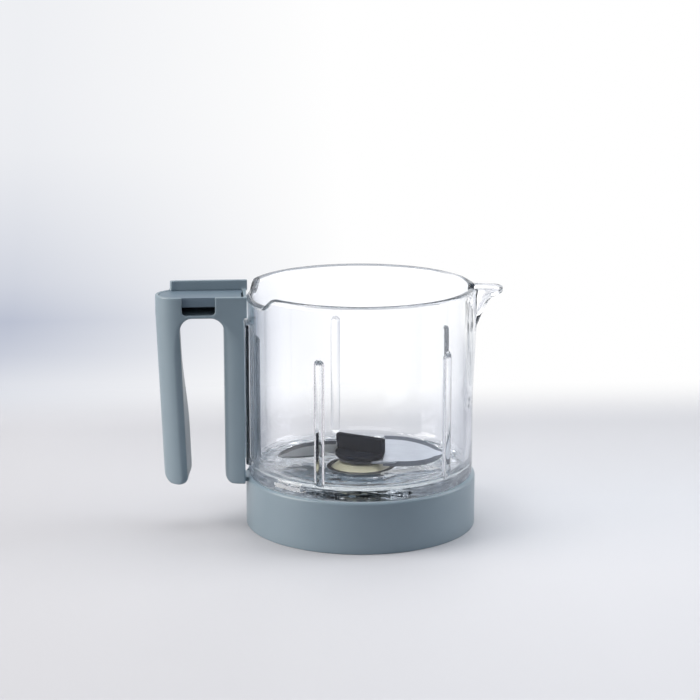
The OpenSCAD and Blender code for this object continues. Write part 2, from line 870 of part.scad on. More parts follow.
module wing_nut() {
    color("dimgray")
        difference() {
            union() {
                translate([0, 0, nut_end_z])
                    cylinder(h = nut_top_z - nut_end_z, r = nut_bore_r + nut_wall);
                translate([0, 0, nut_top_z - nut_collar_h])
                    cylinder(h = nut_collar_h, r = nut_r);
                for (i = [0:wing_count - 1])
                    rotate([0, 0, i * 360 / wing_count + 45])
                        translate([nut_bore_r + 1, -wing_t / 2, nut_end_z])
                            cube([wing_r - nut_bore_r - 1, wing_t, nut_top_z - nut_end_z]);
            }
            translate([0, 0, nut_end_z - through])
                cylinder(h = nut_top_z - nut_end_z + 2 * through, r = nut_bore_r);
        }
}

module nut_gasket() {
    color("whitesmoke")
        tube(shelf_under_z - nut_gasket_t, nut_gasket_t, shelf_hole_r, nut_r - 0.5);
}

glass_bowl();
base_ring();
foot_gasket();
handle_shell();
handle_bond_pad();
handle_screws();
lid_catch();
interlock_rod();
interlock_spring();
rod_guide();
bearing_housing();
housing_gasket();
upper_bush();
lower_bush();
shaft_seal();
spindle();
thrust_washer();
circlip();
drive_coupling();
blade();
blade_washer();
blade_grip();
wing_nut();
nut_gasket();
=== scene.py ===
import math
import bmesh
import bpy
from mathutils import Matrix, Vector


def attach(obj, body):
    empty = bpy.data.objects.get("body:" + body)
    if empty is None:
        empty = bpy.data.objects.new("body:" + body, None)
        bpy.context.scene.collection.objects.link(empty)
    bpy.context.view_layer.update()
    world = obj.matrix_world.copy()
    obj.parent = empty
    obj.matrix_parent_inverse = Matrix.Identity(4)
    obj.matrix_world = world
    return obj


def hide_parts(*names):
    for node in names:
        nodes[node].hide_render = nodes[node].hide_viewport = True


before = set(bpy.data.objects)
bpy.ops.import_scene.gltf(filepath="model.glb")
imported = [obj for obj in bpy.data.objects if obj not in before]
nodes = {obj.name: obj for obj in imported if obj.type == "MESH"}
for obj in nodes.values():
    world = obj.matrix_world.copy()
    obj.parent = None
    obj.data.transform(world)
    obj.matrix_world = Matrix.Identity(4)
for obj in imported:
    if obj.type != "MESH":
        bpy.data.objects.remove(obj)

scene = bpy.context.scene
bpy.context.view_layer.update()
mm = 0.001
print("frame loaded:", len(nodes), "nodes")


# Helpers for materials and meshes

def linearColour(code):
    parts = [int(code[i:i + 2], 16) / 255 for i in (1, 3, 5)]
    return [c / 12.92 if c <= 0.04045 else ((c + 0.055) / 1.055) ** 2.4 for c in parts] + [1.0]


def addNode(tree, kind, settings=None, links=None):
    node = tree.nodes.new(kind)
    for key, value in (settings or {}).items():
        if isinstance(key, int) or key in node.inputs:
            node.inputs[key].default_value = value
        else:
            setattr(node, key, value)
    for socket, source in (links or {}).items():
        tree.links.new(source, node.inputs[socket])
    return node


def newMaterial(name, settings):
    material = bpy.data.materials.new(name)
    material.use_nodes = True
    tree = material.node_tree
    tree.nodes.clear()
    shader = addNode(tree, "ShaderNodeBsdfPrincipled", settings)
    addNode(tree, "ShaderNodeOutputMaterial", None, {"Surface": shader.outputs["BSDF"]})
    material.diffuse_color = settings["Base Color"]
    return material, tree, shader


def noiseAt(tree, sizeMm, detail=3.0, stretch=(1, 1, 1)):
    place = addNode(tree, "ShaderNodeTexCoord")
    mapping = addNode(tree, "ShaderNodeMapping", {"Scale": [1000 / sizeMm * s for s in stretch]},
                      {"Vector": place.outputs["Object"]})
    return addNode(tree, "ShaderNodeTexNoise", {"Scale": 1.0, "Detail": detail, "Roughness": 0.55},
                   {"Vector": mapping.outputs["Vector"]})


def addBump(tree, shader, height, strength, depthMm):
    bump = addNode(tree, "ShaderNodeBump", {"Strength": strength, "Distance": depthMm * mm},
                   {"Height": height})
    tree.links.new(bump.outputs["Normal"], shader.inputs["Normal"])


def varyRoughness(tree, shader, noise, low, high):
    spread = addNode(tree, "ShaderNodeMapRange", {"To Min": low, "To Max": high},
                     {"Value": noise.outputs["Fac"]})
    tree.links.new(spread.outputs["Result"], shader.inputs["Roughness"])


def varyColour(tree, shader, noise, first, second):
    mix = addNode(tree, "ShaderNodeMix", {"data_type": "RGBA"}, {"Factor": noise.outputs["Fac"]})
    mix.inputs[6].default_value = linearColour(first)
    mix.inputs[7].default_value = linearColour(second)
    tree.links.new(mix.outputs[2], shader.inputs["Base Color"])


def meshObject(name, bm):
    mesh = bpy.data.meshes.new(name)
    bm.to_mesh(mesh)
    bm.free()
    made = bpy.data.objects.new(name, mesh)
    scene.collection.objects.link(made)
    return made


def finishPiece(name, bm, material, body, replaced, sharpDegrees=35):
    bmesh.ops.recalc_face_normals(bm, faces=bm.faces)
    for face in bm.faces:
        face.smooth = True
    for edge in bm.edges:
        edge.smooth = edge.calc_face_angle(0) < math.radians(sharpDegrees)
    piece = meshObject(name, bm)
    piece.data.materials.append(material)
    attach(piece, body)
    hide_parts(*replaced)


def arcPoints(cx, cy, radius, start, end, steps):
    return [(cx + radius * math.cos(math.radians(start + (end - start) * i / steps)),
             cy + radius * math.sin(math.radians(start + (end - start) * i / steps)))
            for i in range(steps + 1)]


def spinProfile(bm, points, steps, closed=True):
    ring = [bm.verts.new((r * mm, 0, z * mm)) for r, z in points]
    pairs = list(zip(ring, ring[1:] + ring[:1])) if closed else list(zip(ring, ring[1:]))
    edges = [bm.edges.new(pair) for pair in pairs]
    bmesh.ops.spin(bm, geom=ring + edges, cent=(0, 0, 0), axis=(0, 0, 1), dvec=(0, 0, 0),
                   angle=2 * math.pi, steps=steps, use_merge=True, use_duplicate=False)
    bmesh.ops.remove_doubles(bm, verts=bm.verts, dist=1e-7)
    bmesh.ops.recalc_face_normals(bm, faces=bm.faces)


def turnAboutAxis(degrees):
    return Matrix.Rotation(math.radians(degrees), 3, "Z")


def bevelledBox(bm, low, high, width, segments, turn):
    # Box with its edges rounded over, then turned about the bowl's axis.
    size = [h - l for l, h in zip(low, high)]
    middle = [(h + l) / 2 * mm for l, h in zip(low, high)]
    made = bmesh.ops.create_cube(bm, size=1.0)["verts"]
    bmesh.ops.scale(bm, verts=made, vec=[s * mm for s in size])
    bmesh.ops.translate(bm, verts=made, vec=middle)
    edges = list({e for v in made for e in v.link_edges})
    out = bmesh.ops.bevel(bm, geom=edges, offset=width * mm, affect="EDGES", segments=segments,
                          profile=0.5, material=-1, clamp_overlap=True)
    grown = list({v for f in out["faces"] for v in f.verts})
    bmesh.ops.rotate(bm, verts=grown, cent=(0, 0, 0), matrix=turnAboutAxis(turn))


def smoothStep(low, high, value):
    # Goes softly from 0 at low to 1 at high.
    t = min(max((value - low) / (high - low), 0), 1)
    return t * t * (3 - 2 * t)


# Materials

# Tint of the glass by how far the surface turns from the eye.
glassTint = [(0.0, "#ffffff"), (0.3, "#f8f9fb"), (0.47, "#eff0f3"), (0.61, "#e6e8ec"), (0.8, "#bdc1ca"),
             (0.93, "#8f949f"), (1.0, "#4a4f59")]
# Places of the bowl where the glass is painted lighter or greyer, from where to where, in mm, the change sets
# in:
# painted light at the spout, by the notch and on the back right rib, painted shade along the back of the rim
# and on the rib caps, and a slight grey at the foot and the floor.
glassTintAndPaintedLight = [
    # painted light: lifts the dark that refraction gives in the spout
    ("MIX", "#ffffff", 0.85, [("x", 45, 58), ("z", 105, 118)]),  # spout
    # painted light: lifts the dark band by the notch
    ("MIX", "#ffffff", 0.45, [("x", -46, -56), ("z", 129, 134)]),  # notch by the handle
    # painted shade along the back of the rim
    ("MULTIPLY", "#6c727b", 1.0, [("z", 142, 142.5), ("y", -8, 15), ("x", 60, 50)]),  # back of the rim
    # painted shade on the rib caps
    ("MULTIPLY", "#5c626b", 1.0, [("r", 62.7, 62.3), ("z", 107.6, 108.8), ("y", 20, 5)]),  # rib caps
    ("MULTIPLY", "#d6dade", 1.0, [("r", 64.2, 65.2), ("z", 38.5, 34.5)]),  # foot
    # painted light: lifts the dark of the back right rib
    ("MIX", "#ffffff", 0.75, [("r", 62.8, 62.5), ("x", 10, 25), ("y", 5, 20)]),  # back right rib
    ("MULTIPLY", "#f0f2f4", 1.0, [("z", 34.6, 34.2), ("r", 60, 57)]),  # floor
]
# Waves in the surface: sizes in mm, and heights against the mould's own slow ripple.
glassWaves = {
    "mouldSize": 28, "strength": 0.25, "depth": 0.25,
    "swirlSize": 24, "swirlTwist": 1.4, "swirlHeight": 42.0, "swirlPlace": [("z", 36, 33.5)],
    "sparkleSize": 8, "sparkleStretch": (0.6, 0.6, 1.6), "sparkleHeight": 26.0,
    "sparklePlace": [("z", 38.5, 36.5), ("r", 62.5, 64)],
}


def alongBowl(tree):
    # Where a point is: along X, Y and Z, out from the bowl's axis (r) and away from the origin (d).
    place = addNode(tree, "ShaderNodeTexCoord").outputs["Object"]
    parts = addNode(tree, "ShaderNodeSeparateXYZ", None, {"Vector": place}).outputs
    flat = addNode(tree, "ShaderNodeVectorMath", {"operation": "MULTIPLY", 1: (1, 1, 0)}, {0: place})
    out = addNode(tree, "ShaderNodeVectorMath", {"operation": "LENGTH"}, {0: flat.outputs[0]})
    away = addNode(tree, "ShaderNodeVectorMath", {"operation": "LENGTH"}, {0: place})
    return {"x": parts["X"], "y": parts["Y"], "z": parts["Z"],
            "r": out.outputs["Value"], "d": away.outputs["Value"]}


def placeMask(tree, along, limits, amount=1.0, there=None, change="LINEAR"):
    # Goes from 0 to an amount between two places in mm, along one way or several, times what was there.
    for axis, none, full in limits:
        part = addNode(tree, "ShaderNodeMapRange", {
            "From Min": none * mm, "From Max": full * mm, "To Max": amount, "interpolation_type": change},
            {"Value": along[axis]}).outputs[0]
        if there:
            part = addNode(tree, "ShaderNodeMath", {"operation": "MULTIPLY"}, {0: there, 1: part}).outputs[0]
        there, amount = part, 1.0
    return there


def pressedGlass():
    # Pressed soda-lime glass: clear, blue-grey where the eye looks along it, with a slow ripple left by the
    # mould and stronger swirls in the thick floor. It is painted lighter at the spout, by the notch and on a
    # back rib, and darker along the back of the rim and on the rib caps: painted light and shade that stand
    # in for what refraction shows. Lamps shine through it, as they do through real glass.
    material, tree, shader = newMaterial("pressedSodaLimeGlass", {
        "Base Color": linearColour("#ffffff"), "Roughness": 0.0, "IOR": 1.52, "Transmission Weight": 1.0})
    along = alongBowl(tree)
    facing = addNode(tree, "ShaderNodeLayerWeight", {"Blend": 0.5})
    tint = addNode(tree, "ShaderNodeValToRGB", None, {"Fac": facing.outputs["Facing"]})
    stops = tint.color_ramp.elements
    for _ in glassTint[2:]:
        stops.new(0.5)
    for stop, (place, code) in zip(stops, glassTint):
        stop.position = place
        stop.color = linearColour(code)
    colour = tint.outputs["Color"]
    # Painted light and painted shade by place, and a slight grey at the foot and the floor.
    for blend, code, amount, limits in glassTintAndPaintedLight:
        colour = addNode(tree, "ShaderNodeMix", {
            "data_type": "RGBA", "blend_type": blend, 7: linearColour(code)},
            {"Factor": placeMask(tree, along, limits, amount), 6: colour}).outputs[2]
    tree.links.new(colour, shader.inputs["Base Color"])
    waves = glassWaves
    swirl = noiseAt(tree, waves["swirlSize"], 1.0)
    swirl.inputs["Distortion"].default_value = waves["swirlTwist"]
    sparkle = noiseAt(tree, waves["sparkleSize"], 1.0, waves["sparkleStretch"])
    height = noiseAt(tree, waves["mouldSize"], 1.0).outputs["Fac"]
    for wave, amount, limits in ((swirl, waves["swirlHeight"], waves["swirlPlace"]),
                                 (sparkle, waves["sparkleHeight"], waves["sparklePlace"])):
        lift = placeMask(tree, along, limits, amount)
        height = addNode(tree, "ShaderNodeMath", {"operation": "MULTIPLY_ADD"},
                         {0: wave.outputs["Fac"], 1: lift, 2: height}).outputs[0]
    addBump(tree, shader, height, waves["strength"], waves["depth"])
    rays = addNode(tree, "ShaderNodeLightPath")
    through = addNode(tree, "ShaderNodeBsdfTransparent", {"Color": linearColour("#f2f5f7")})
    mix = addNode(tree, "ShaderNodeMixShader", None,
                  {"Fac": rays.outputs["Is Shadow Ray"], 1: shader.outputs[0], 2: through.outputs[0]})
    output = [n for n in tree.nodes if n.type == "OUTPUT_MATERIAL"][0]
    tree.links.new(mix.outputs[0], output.inputs["Surface"])
    # A ray that runs a long way inside the wall comes out greyer.
    body = addNode(tree, "ShaderNodeVolumeAbsorption", {"Color": [0.1, 0.17, 0.24, 1.0], "Density": 9.0})
    tree.links.new(body.outputs[0], output.inputs["Volume"])
    return material


def mouldedPlastic(name, first, second, roughLow, roughHigh, specular=0.5):
    # Injection-moulded plastic: an even satin skin with a fine spark-eroded grain and a slight mottle.
    material, tree, shader = newMaterial(name, {"Base Color": linearColour(first), "IOR": 1.49,
                                                "Specular IOR Level": specular})
    varyColour(tree, shader, noiseAt(tree, 22, 2.0), first, second)
    grain = noiseAt(tree, 0.7, 4.0)  # real grain is about 0.15 mm, drawn coarser so that it shows
    varyRoughness(tree, shader, grain, roughLow, roughHigh)
    addBump(tree, shader, grain.outputs["Fac"], 0.35, 0.05)
    return material


def rubber(name, first, second, rough):
    # Moulded elastomer: matt, with a soft broad sheen and a dusty unevenness.
    material, tree, shader = newMaterial(name, {"Base Color": linearColour(first), "IOR": 1.5})
    dust = noiseAt(tree, 3, 4.0)
    varyColour(tree, shader, dust, first, second)
    varyRoughness(tree, shader, dust, rough - 0.1, rough + 0.08)
    addBump(tree, shader, dust.outputs["Fac"], 0.2, 0.04)
    return material


def clearSilicone(name, code, clear):
    # Translucent silicone rubber: milky, soft-edged, lets a little light through.
    material, tree, shader = newMaterial(name, {
        "Base Color": linearColour(code), "Transmission Weight": clear, "IOR": 1.41,
        "Subsurface Weight": 0.2, "Subsurface Radius": [0.002, 0.002, 0.002]})
    varyRoughness(tree, shader, noiseAt(tree, 2.5, 3.0), 0.35, 0.5)
    return material


def steel(name, first, second, roughLow, roughHigh, stretch, sizeMm=1.2, depthMm=0.012):
    # Worked steel: bright, with the fine lines that grinding, turning or drawing leaves along one way.
    material, tree, shader = newMaterial(name, {"Base Color": linearColour(first), "Metallic": 1.0})
    lines = noiseAt(tree, sizeMm, 3.0, stretch)
    varyColour(tree, shader, lines, first, second)
    varyRoughness(tree, shader, lines, roughLow, roughHigh)
    addBump(tree, shader, lines.outputs["Fac"], 0.3, depthMm)
    return material


bladeFinish = {
    "face": ("#b0b4bc", "#a2a7b0"), "bevel": "#565b64",
    "armPaintedLight": "#d8dbde", "armPaintedLightMetal": 0.3, "armPaintedLightPlace": [("x", 0, -20)],
    "plateShade": "#3a3c40", "platePlace": [("r", 14.2, 13.4)],
}


def groundBlade():
    # Ground stainless blade: bright along the face, and darker on the bevels that the grinding wheel left.
    # The arm towards the handle is painted paler and less metallic, as painted light, and the plate has
    # painted shade round the grip.
    first, second = bladeFinish["face"]
    material = steel("groundStainlessBlade", first, second, 0.5, 0.6, (0.12, 1, 1))
    tree = material.node_tree
    shader = [n for n in tree.nodes if n.type == "BSDF_PRINCIPLED"][0]
    along = alongBowl(tree)
    # Painted light: the arm towards the handle is painted paler and less metallic.
    armLight = placeMask(tree, along, bladeFinish["armPaintedLightPlace"])
    metal = addNode(tree, "ShaderNodeMath", {
        "operation": "MULTIPLY_ADD", 1: bladeFinish["armPaintedLightMetal"] - 1, 2: 1.0}, {0: armLight})
    tree.links.new(metal.outputs[0], shader.inputs["Metallic"])
    bevels = addNode(tree, "ShaderNodeUVMap", {"uv_map": "bevelMask"})
    bevels = addNode(tree, "ShaderNodeSeparateXYZ", None, {"Vector": bevels.outputs["UV"]})
    colour = shader.inputs["Base Color"].links[0].from_socket
    # The plate round the grip gets painted shade.
    for code, there in ((bladeFinish["armPaintedLight"], armLight),
                        (bladeFinish["plateShade"], placeMask(tree, along, bladeFinish["platePlace"])),
                        (bladeFinish["bevel"], bevels.outputs["X"])):
        colour = addNode(tree, "ShaderNodeMix", {"data_type": "RGBA", 7: linearColour(code)},
                         {"Factor": there, 6: colour}).outputs[2]
    tree.links.new(colour, shader.inputs["Base Color"])
    return material


slatePlastic = mouldedPlastic("mouldedSlatePolypropylene", "#74848e", "#7a8a94", 0.29, 0.39)
# The lid catch's deck: the slate plastic painted darker, as painted shade on its upward face.
deckPaintedShadePlastic = mouldedPlastic("slatePolypropylenePaintedShade", "#596a77", "#5e6f7c", 0.42, 0.54)
ivoryPlastic = mouldedPlastic("mouldedIvoryAcetal", "#a8a691", "#9e9c86", 0.28, 0.38)
greyPlastic = mouldedPlastic("glassFilledGreyNylon", "#55595d", "#4b4f53", 0.45, 0.6)
blackPlastic = mouldedPlastic("mouldedBlackNylon", "#060a13", "#090d18", 0.5, 0.62, 0.02)
blackRubber = rubber("nitrileRubber", "#0f1012", "#191a1d", 0.6)
silicone = clearSilicone("translucentSilicone", "#e6e9ea", 0.5)
greySilicone = clearSilicone("greySilicone", "#b4bcc4", 0.7)
bladeSteel = groundBlade()
brightSteel = steel("turnedStainless", "#c9ccd0", "#b7bbc0", 0.18, 0.3, (1, 1, 6))
springSteel = steel("drawnSpringSteel", "#a9adb3", "#9398a0", 0.25, 0.35, (1, 1, 3))
bronze = steel("sinteredBronze", "#b98b52", "#a3763f", 0.38, 0.52, (1, 1, 1), 0.8, 0.02)
clearGlass = pressedGlass()
print("materials ready")


# Glass bowl

glass = {
    "outerRadius": 66.3, "innerRadius": 62.9, "rimHeight": 143.3, "beadRadius": 2.05,
    "floorHeight": 34.0, "floorFillet": 9.0, "underside": 27.5, "footHeight": 30.7, "footRadius": 1.2,
    "plugRadius": 51.0, "holeRadius": 14.0, "recessRadius": 20.3, "recessHeight": 31.5,
    "ribCount": 5, "ribRadius": 3.0, "ribCentre": 63.2, "ribDomeHeight": 108.5,
    "ribFoot": 0.35, "ribFillet": 1.4,
    "spoutAngle": -8.0, "spoutHalfWidth": 9.0, "spoutSpan": 21.0, "spoutBase": 13.0, "spoutWall": 2.4,
    "lip": 2.6, "softLow": 117.0, "softOut": 60.5,
    "channelFoot": 116.0, "channelFull": 126.0, "channelWidth": 0.45, "channelDrop": 1.3,
    "keelFoot": 120.0, "keelRise": 19.0, "keelWidth": 0.22,
    "keelLine": [(118, 2.0), (120, 2.2), (124, 3.4), (128, 5.2), (132, 7.4), (136.6, 9.8), (138.4, 13.0),
                 (139.6, 16.2), (140.6, 16.7), (150, 16.7)],
    "flareFoot": 78.0, "flareRise": 38.0, "flare": 1.6, "flareHalfWidth": 17.0,
    "notchFloor": 137.6, "notchNear": 31.6, "notchFar": 17.0, "notchRun": 8.6,
    "bossHalfWidth": 11.0, "bossFace": 68.2, "bossLow": 38.0, "bossHigh": 123.3,
}


def glassProfile():
    # Section of the wall and the floor, its levels close together at the spout, the ribs and the foot.
    g = glass
    rimMid = g["rimHeight"] - g["beadRadius"]
    under, out = g["underside"], g["outerRadius"]
    profile = [(r, under) for r in (g["holeRadius"] + 0.4, 22, 34, 44, g["plugRadius"] - 0.5)]
    profile += [(g["plugRadius"], under + 0.5), (g["plugRadius"], g["footHeight"]), (58, g["footHeight"])]
    profile += arcPoints(out - g["footRadius"], g["footHeight"] + g["footRadius"], g["footRadius"], -90, 0, 5)
    heights = [34, 36.5, 37.4, 37.9, 38.4, 39, 40.5] + list(range(44, 80, 5))
    heights += [80 + 2.5 * i for i in range(15)] + [117.5 + 1.2 * i for i in range(17)]
    heights += [137.5, 138.3, 139.1, 139.9, 140.6]
    profile += [(out, z) for z in heights]
    profile += arcPoints(g["innerRadius"] + g["beadRadius"], rimMid, g["beadRadius"], 0, 180, 12)
    heights = [140.6, 139.9, 139.1] + [138.3 - 1.2 * i for i in range(20)] + [114.2, 113.2, 112.2]
    heights += [111.5 - 0.25 * i for i in range(5)] + [110.1, 109.6, 109.0, 108.5, 107, 104, 100]
    heights += list(range(94, 46, -6)) + [43]
    inner, floor, fillet = g["innerRadius"], g["floorHeight"], g["floorFillet"]
    profile += [(inner, z) for z in heights]
    profile += arcPoints(inner - fillet, floor + fillet, fillet, 0, -90, 14)[1:]
    recess, step, hole = g["recessRadius"], g["recessHeight"], g["holeRadius"]
    profile += [(r, floor) for r in (48, 42, 36, 30, 25, recess + 1.0)]
    profile += [(recess + 0.4, floor - 0.1), (recess, floor - 0.5), (recess, step + 0.3)]
    profile += [(recess - 0.3, step), (17, step), (hole + 0.3, step), (hole, step - 0.3), (hole, under + 0.4)]
    return profile


def glassColumns():
    # Angles of the columns, close together where the wall changes shape.
    g = glass
    angles = []
    ribs = [(i + 0.5) * 360 / g["ribCount"] + g["spoutAngle"] for i in range(g["ribCount"])]
    for rib in ribs:
        reach = math.degrees(math.asin(g["ribRadius"] / g["innerRadius"]))
        angles += [rib + reach * math.sin(math.radians(a)) for a in range(-90, 91, 9)]
        angles += [rib + side * reach * k for side in (-1, 1) for k in (1.12, 1.3, 1.55)]
    angles += [g["spoutAngle"] + g["spoutSpan"] * i / 34 for i in range(-34, 35)]
    edge = math.degrees(math.asin(g["bossHalfWidth"] / g["outerRadius"]))
    angles += [180 + side * (edge + k) for side in (-1, 1) for k in (-0.9, -0.3, 0.1, 0.5, 1.1)]
    taken = [a % 360 for a in angles]
    for i in range(180):
        a = i * 2.0
        if min(min(abs(a - b), 360 - abs(a - b)) for b in taken) > 1.1:
            angles.append(a)
    return sorted({round(a % 360, 4) for a in angles})


def keelReach(z):
    # How far the spout's front line stands out from the wall at a height.
    line = glass["keelLine"]
    for (low, near), (high, far) in zip(line, line[1:]):
        if z <= high:
            return near + (far - near) * max(z - low, 0) / (high - low)
    return line[-1][1]


def spoutShape(r, z, lateral):
    # Place of a point of the spout, in the spout's own axes, from its place on the plain round wall.
    g = glass
    outside = min(max((r - g["innerRadius"]) / (g["outerRadius"] - g["innerRadius"]), 0), 1)
    bead = max(r - g["outerRadius"], 0)
    reachOut = keelReach(z) - bead
    flare = g["flare"] * min(max((z - g["flareFoot"]) / g["flareRise"], 0), 1)
    reachOut = max(reachOut - flare, 0) * smoothStep(g["keelFoot"] - 1.5, g["keelFoot"] + 2.5, z)
    reachIn = keelReach(z - g["channelDrop"]) + g["outerRadius"] - g["lip"] - g["innerRadius"]
    reachIn *= smoothStep(g["channelFoot"], g["channelFull"], z)
    narrowing = min(max((z - g["keelFoot"]) / g["keelRise"], 0), 1)
    halfOut = g["spoutHalfWidth"] * (g["keelWidth"] + (1 - g["keelWidth"]) * narrowing ** 0.8)
    channel = g["channelWidth"] + (1 - g["channelWidth"]) * smoothStep(124, 140, z)
    halfIn = (g["spoutHalfWidth"] - g["spoutWall"]) * channel
    reach = reachIn + (reachOut - reachIn) * outside
    half = halfIn + (halfOut - halfIn) * outside
    power = 1.5 + 1.9 * smoothStep(118, 140, z) * outside + 1.3 * (1 - outside)  # 2 is round, more is squarer
    base = g["spoutBase"]
    edge = g["outerRadius"] * math.sin(math.radians(g["spoutSpan"]))
    if abs(lateral) < base:
        turn = math.pi / 2 * lateral / base
        across = math.copysign(half * abs(math.sin(turn)) ** (2 / power), lateral)
        along = reach * abs(math.cos(turn)) ** (2 / power)
    else:
        k = (abs(lateral) - base) / (edge - base)
        across = math.copysign(half + (edge - half) * k, lateral)
        along = 0.0
    swell = flare * outside * max(1 - (across / g["flareHalfWidth"]) ** 2, 0) ** 2
    return math.sqrt(max(r * r - across * across, 0)) + along + swell, across


def ribInset(lateral, z):
    # How far a domed rib, or the fillet along its foot, stands in from the circle of the ribs' centres.
    g = glass
    above = max(z - g["ribDomeHeight"], 0)
    past = math.hypot(lateral, above) - g["ribRadius"]
    if past < 0:
        return math.sqrt(g["ribRadius"] ** 2 - above ** 2 - lateral ** 2)
    return g["ribFoot"] * max(1 - past / g["ribFillet"], 0) ** 2


def shapeGlassPoint(x, y, z, angle):
    # Moves a point of the plain round bowl out into the spout, in along a rib, or down into the rim's notch.
    g = glass
    r = math.hypot(x, y)
    spoutTurn = (angle - g["spoutAngle"] + 180) % 360 - 180
    if abs(spoutTurn) <= g["spoutSpan"] + 0.01 and z > 76 and r > g["innerRadius"] - 0.1:
        along, across = spoutShape(r, z, g["outerRadius"] * math.sin(math.radians(spoutTurn)))
        turn = math.radians(g["spoutAngle"])
        return Vector((along * math.cos(turn) - across * math.sin(turn),
                       along * math.sin(turn) + across * math.cos(turn), z))
    inner = r < g["innerRadius"] + 0.01 and z > g["floorHeight"] + 0.01
    if inner and z < 113:
        for i in range(g["ribCount"]):
            away = (angle - (i + 0.5) * 360 / g["ribCount"] - g["spoutAngle"] + 180) % 360 - 180
            if abs(away) < 5:
                r = min(r, g["ribCentre"] - ribInset(g["innerRadius"] * math.sin(math.radians(away)), z))
    turn = math.radians(angle)
    px, py = r * math.cos(turn), r * math.sin(turn)
    if px < 0 and r > g["outerRadius"] - 0.1 and z < 130:
        mask = smoothStep(g["bossLow"] - 0.5, g["bossLow"] + 0.5, z)
        mask *= smoothStep(-g["bossHigh"] - 0.5, -g["bossHigh"] + 0.5, -z)
        mask *= smoothStep(-g["bossHalfWidth"] - 0.5, -g["bossHalfWidth"] + 0.5, -abs(py))
        px = px + (-g["bossFace"] - px) * mask
    if px < 0 and z > 118:
        fall = smoothStep(-g["notchNear"] - g["notchRun"], -g["notchNear"] + 0.6, py)
        fall *= smoothStep(-g["notchFar"] - g["notchRun"], -g["notchFar"] + 0.6, -py)
        z -= (g["rimHeight"] - g["notchFloor"]) * fall * smoothStep(118, 137, z)
    return Vector((px, py, z))


def buildGlass():
    angles = glassColumns()
    bm = bmesh.new()
    spinProfile(bm, glassProfile(), len(angles))
    step = 2 * math.pi / len(angles)
    for vert in bm.verts:
        x, y, z = (c / mm for c in vert.co)
        column = round(math.atan2(y, x) / step) % len(angles)
        vert.co = shapeGlassPoint(x, y, z, angles[column]) * mm
    turn = turnAboutAxis(-glass["spoutAngle"])
    low, out = glass["softLow"] * mm, glass["softOut"] * mm
    soft = [v for v in bm.verts if v.co.z > low and (turn @ v.co).x > out]
    for _ in range(2):  # fire-polishing rounds the spout's edges
        bmesh.ops.smooth_vert(bm, verts=soft, factor=0.5, use_axis_x=True, use_axis_y=True, use_axis_z=True)
    print("glass bowl:", len(bm.faces), "faces in", len(angles), "columns")
    finishPiece("glassBowl", bm, clearGlass, "bowl", ["glass_bowl"], 60)


buildGlass()


# Base ring

baseRing = {
    "outerRadius": 68.0, "innerRadius": 65.6, "height": 30.6,
    "topEdge": 1.8, "landHeight": 29.7, "landRadius": 51.6, "shelfTop": 27.1, "shelfUnder": 24.6,
    "holeRadius": 14.4, "lugs": 3, "lugSweep": 28.0, "lugLow": 14.0, "lugHigh": 18.0, "lugDepth": 3.0,
    "ribs": 9, "ribThickness": 1.6, "ribDepth": 5.0, "ribStart": 33.0, "tongueSlot": 8.2,
    "tongueReach": 13.5,
}


def buildBaseRing():
    b = baseRing
    out, inner, top = b["outerRadius"], b["innerRadius"], b["height"]
    profile = [(inner + 0.4, 0), (out - 0.6, 0)] + arcPoints(out - 0.6, 0.6, 0.6, -90, 0, 4)
    profile += [(out, z) for z in (4, 12, 20, 26)]
    profile += arcPoints(out - b["topEdge"], top - b["topEdge"], b["topEdge"], 0, 90, 9)
    profile += [(inner + 0.25, top), (inner, top - 0.25), (inner, b["landHeight"]), (58, b["landHeight"])]
    hole, shelf, under = b["holeRadius"], b["shelfTop"], b["shelfUnder"]
    profile += [(b["landRadius"], b["landHeight"]), (b["landRadius"], shelf), (hole + 0.3, shelf)]
    profile += [(hole, shelf - 0.3), (hole, under + 0.3), (hole + 0.3, under), (inner - 0.6, under)]
    profile += [(inner, under - 0.6), (inner, 12), (inner, 0.4)]
    bm = bmesh.new()
    spinProfile(bm, profile, 240)
    for vert in bm.verts:
        if vert.co.x < -(inner - b["tongueReach"]) * mm and abs(vert.co.y) < b["tongueSlot"] * mm:
            vert.co.z = min(vert.co.z, shelf * mm)
    for i in range(b["lugs"]):
        start = i * 360 / b["lugs"] + 30
        corners = [(inner - b["lugDepth"], b["lugLow"]), (inner + 0.6, b["lugLow"]),
                   (inner + 0.6, b["lugHigh"]), (inner - b["lugDepth"], b["lugHigh"])]
        section = [bm.verts.new((r * mm, 0, z * mm)) for r, z in corners]
        bmesh.ops.rotate(bm, verts=section, cent=(0, 0, 0), matrix=turnAboutAxis(start))
        face = bm.faces.new(section)
        bmesh.ops.spin(bm, geom=[face] + list(face.edges) + section, cent=(0, 0, 0), axis=(0, 0, 1),
                       dvec=(0, 0, 0), angle=math.radians(b["lugSweep"]), steps=14, use_duplicate=False)
    for i in range(b["ribs"]):
        bevelledBox(bm, (b["ribStart"], -b["ribThickness"] / 2, under - b["ribDepth"]),
                    (inner + 0.5, b["ribThickness"] / 2, under + 1), 0.3, 2, i * 360 / b["ribs"])
    finishPiece("baseRing", bm, slatePlastic, "bowl", ["base_ring"], 40)


buildBaseRing()
print("base ring built")


# Handle: two sculpted legs under a tray, fused into one skin with soft edges

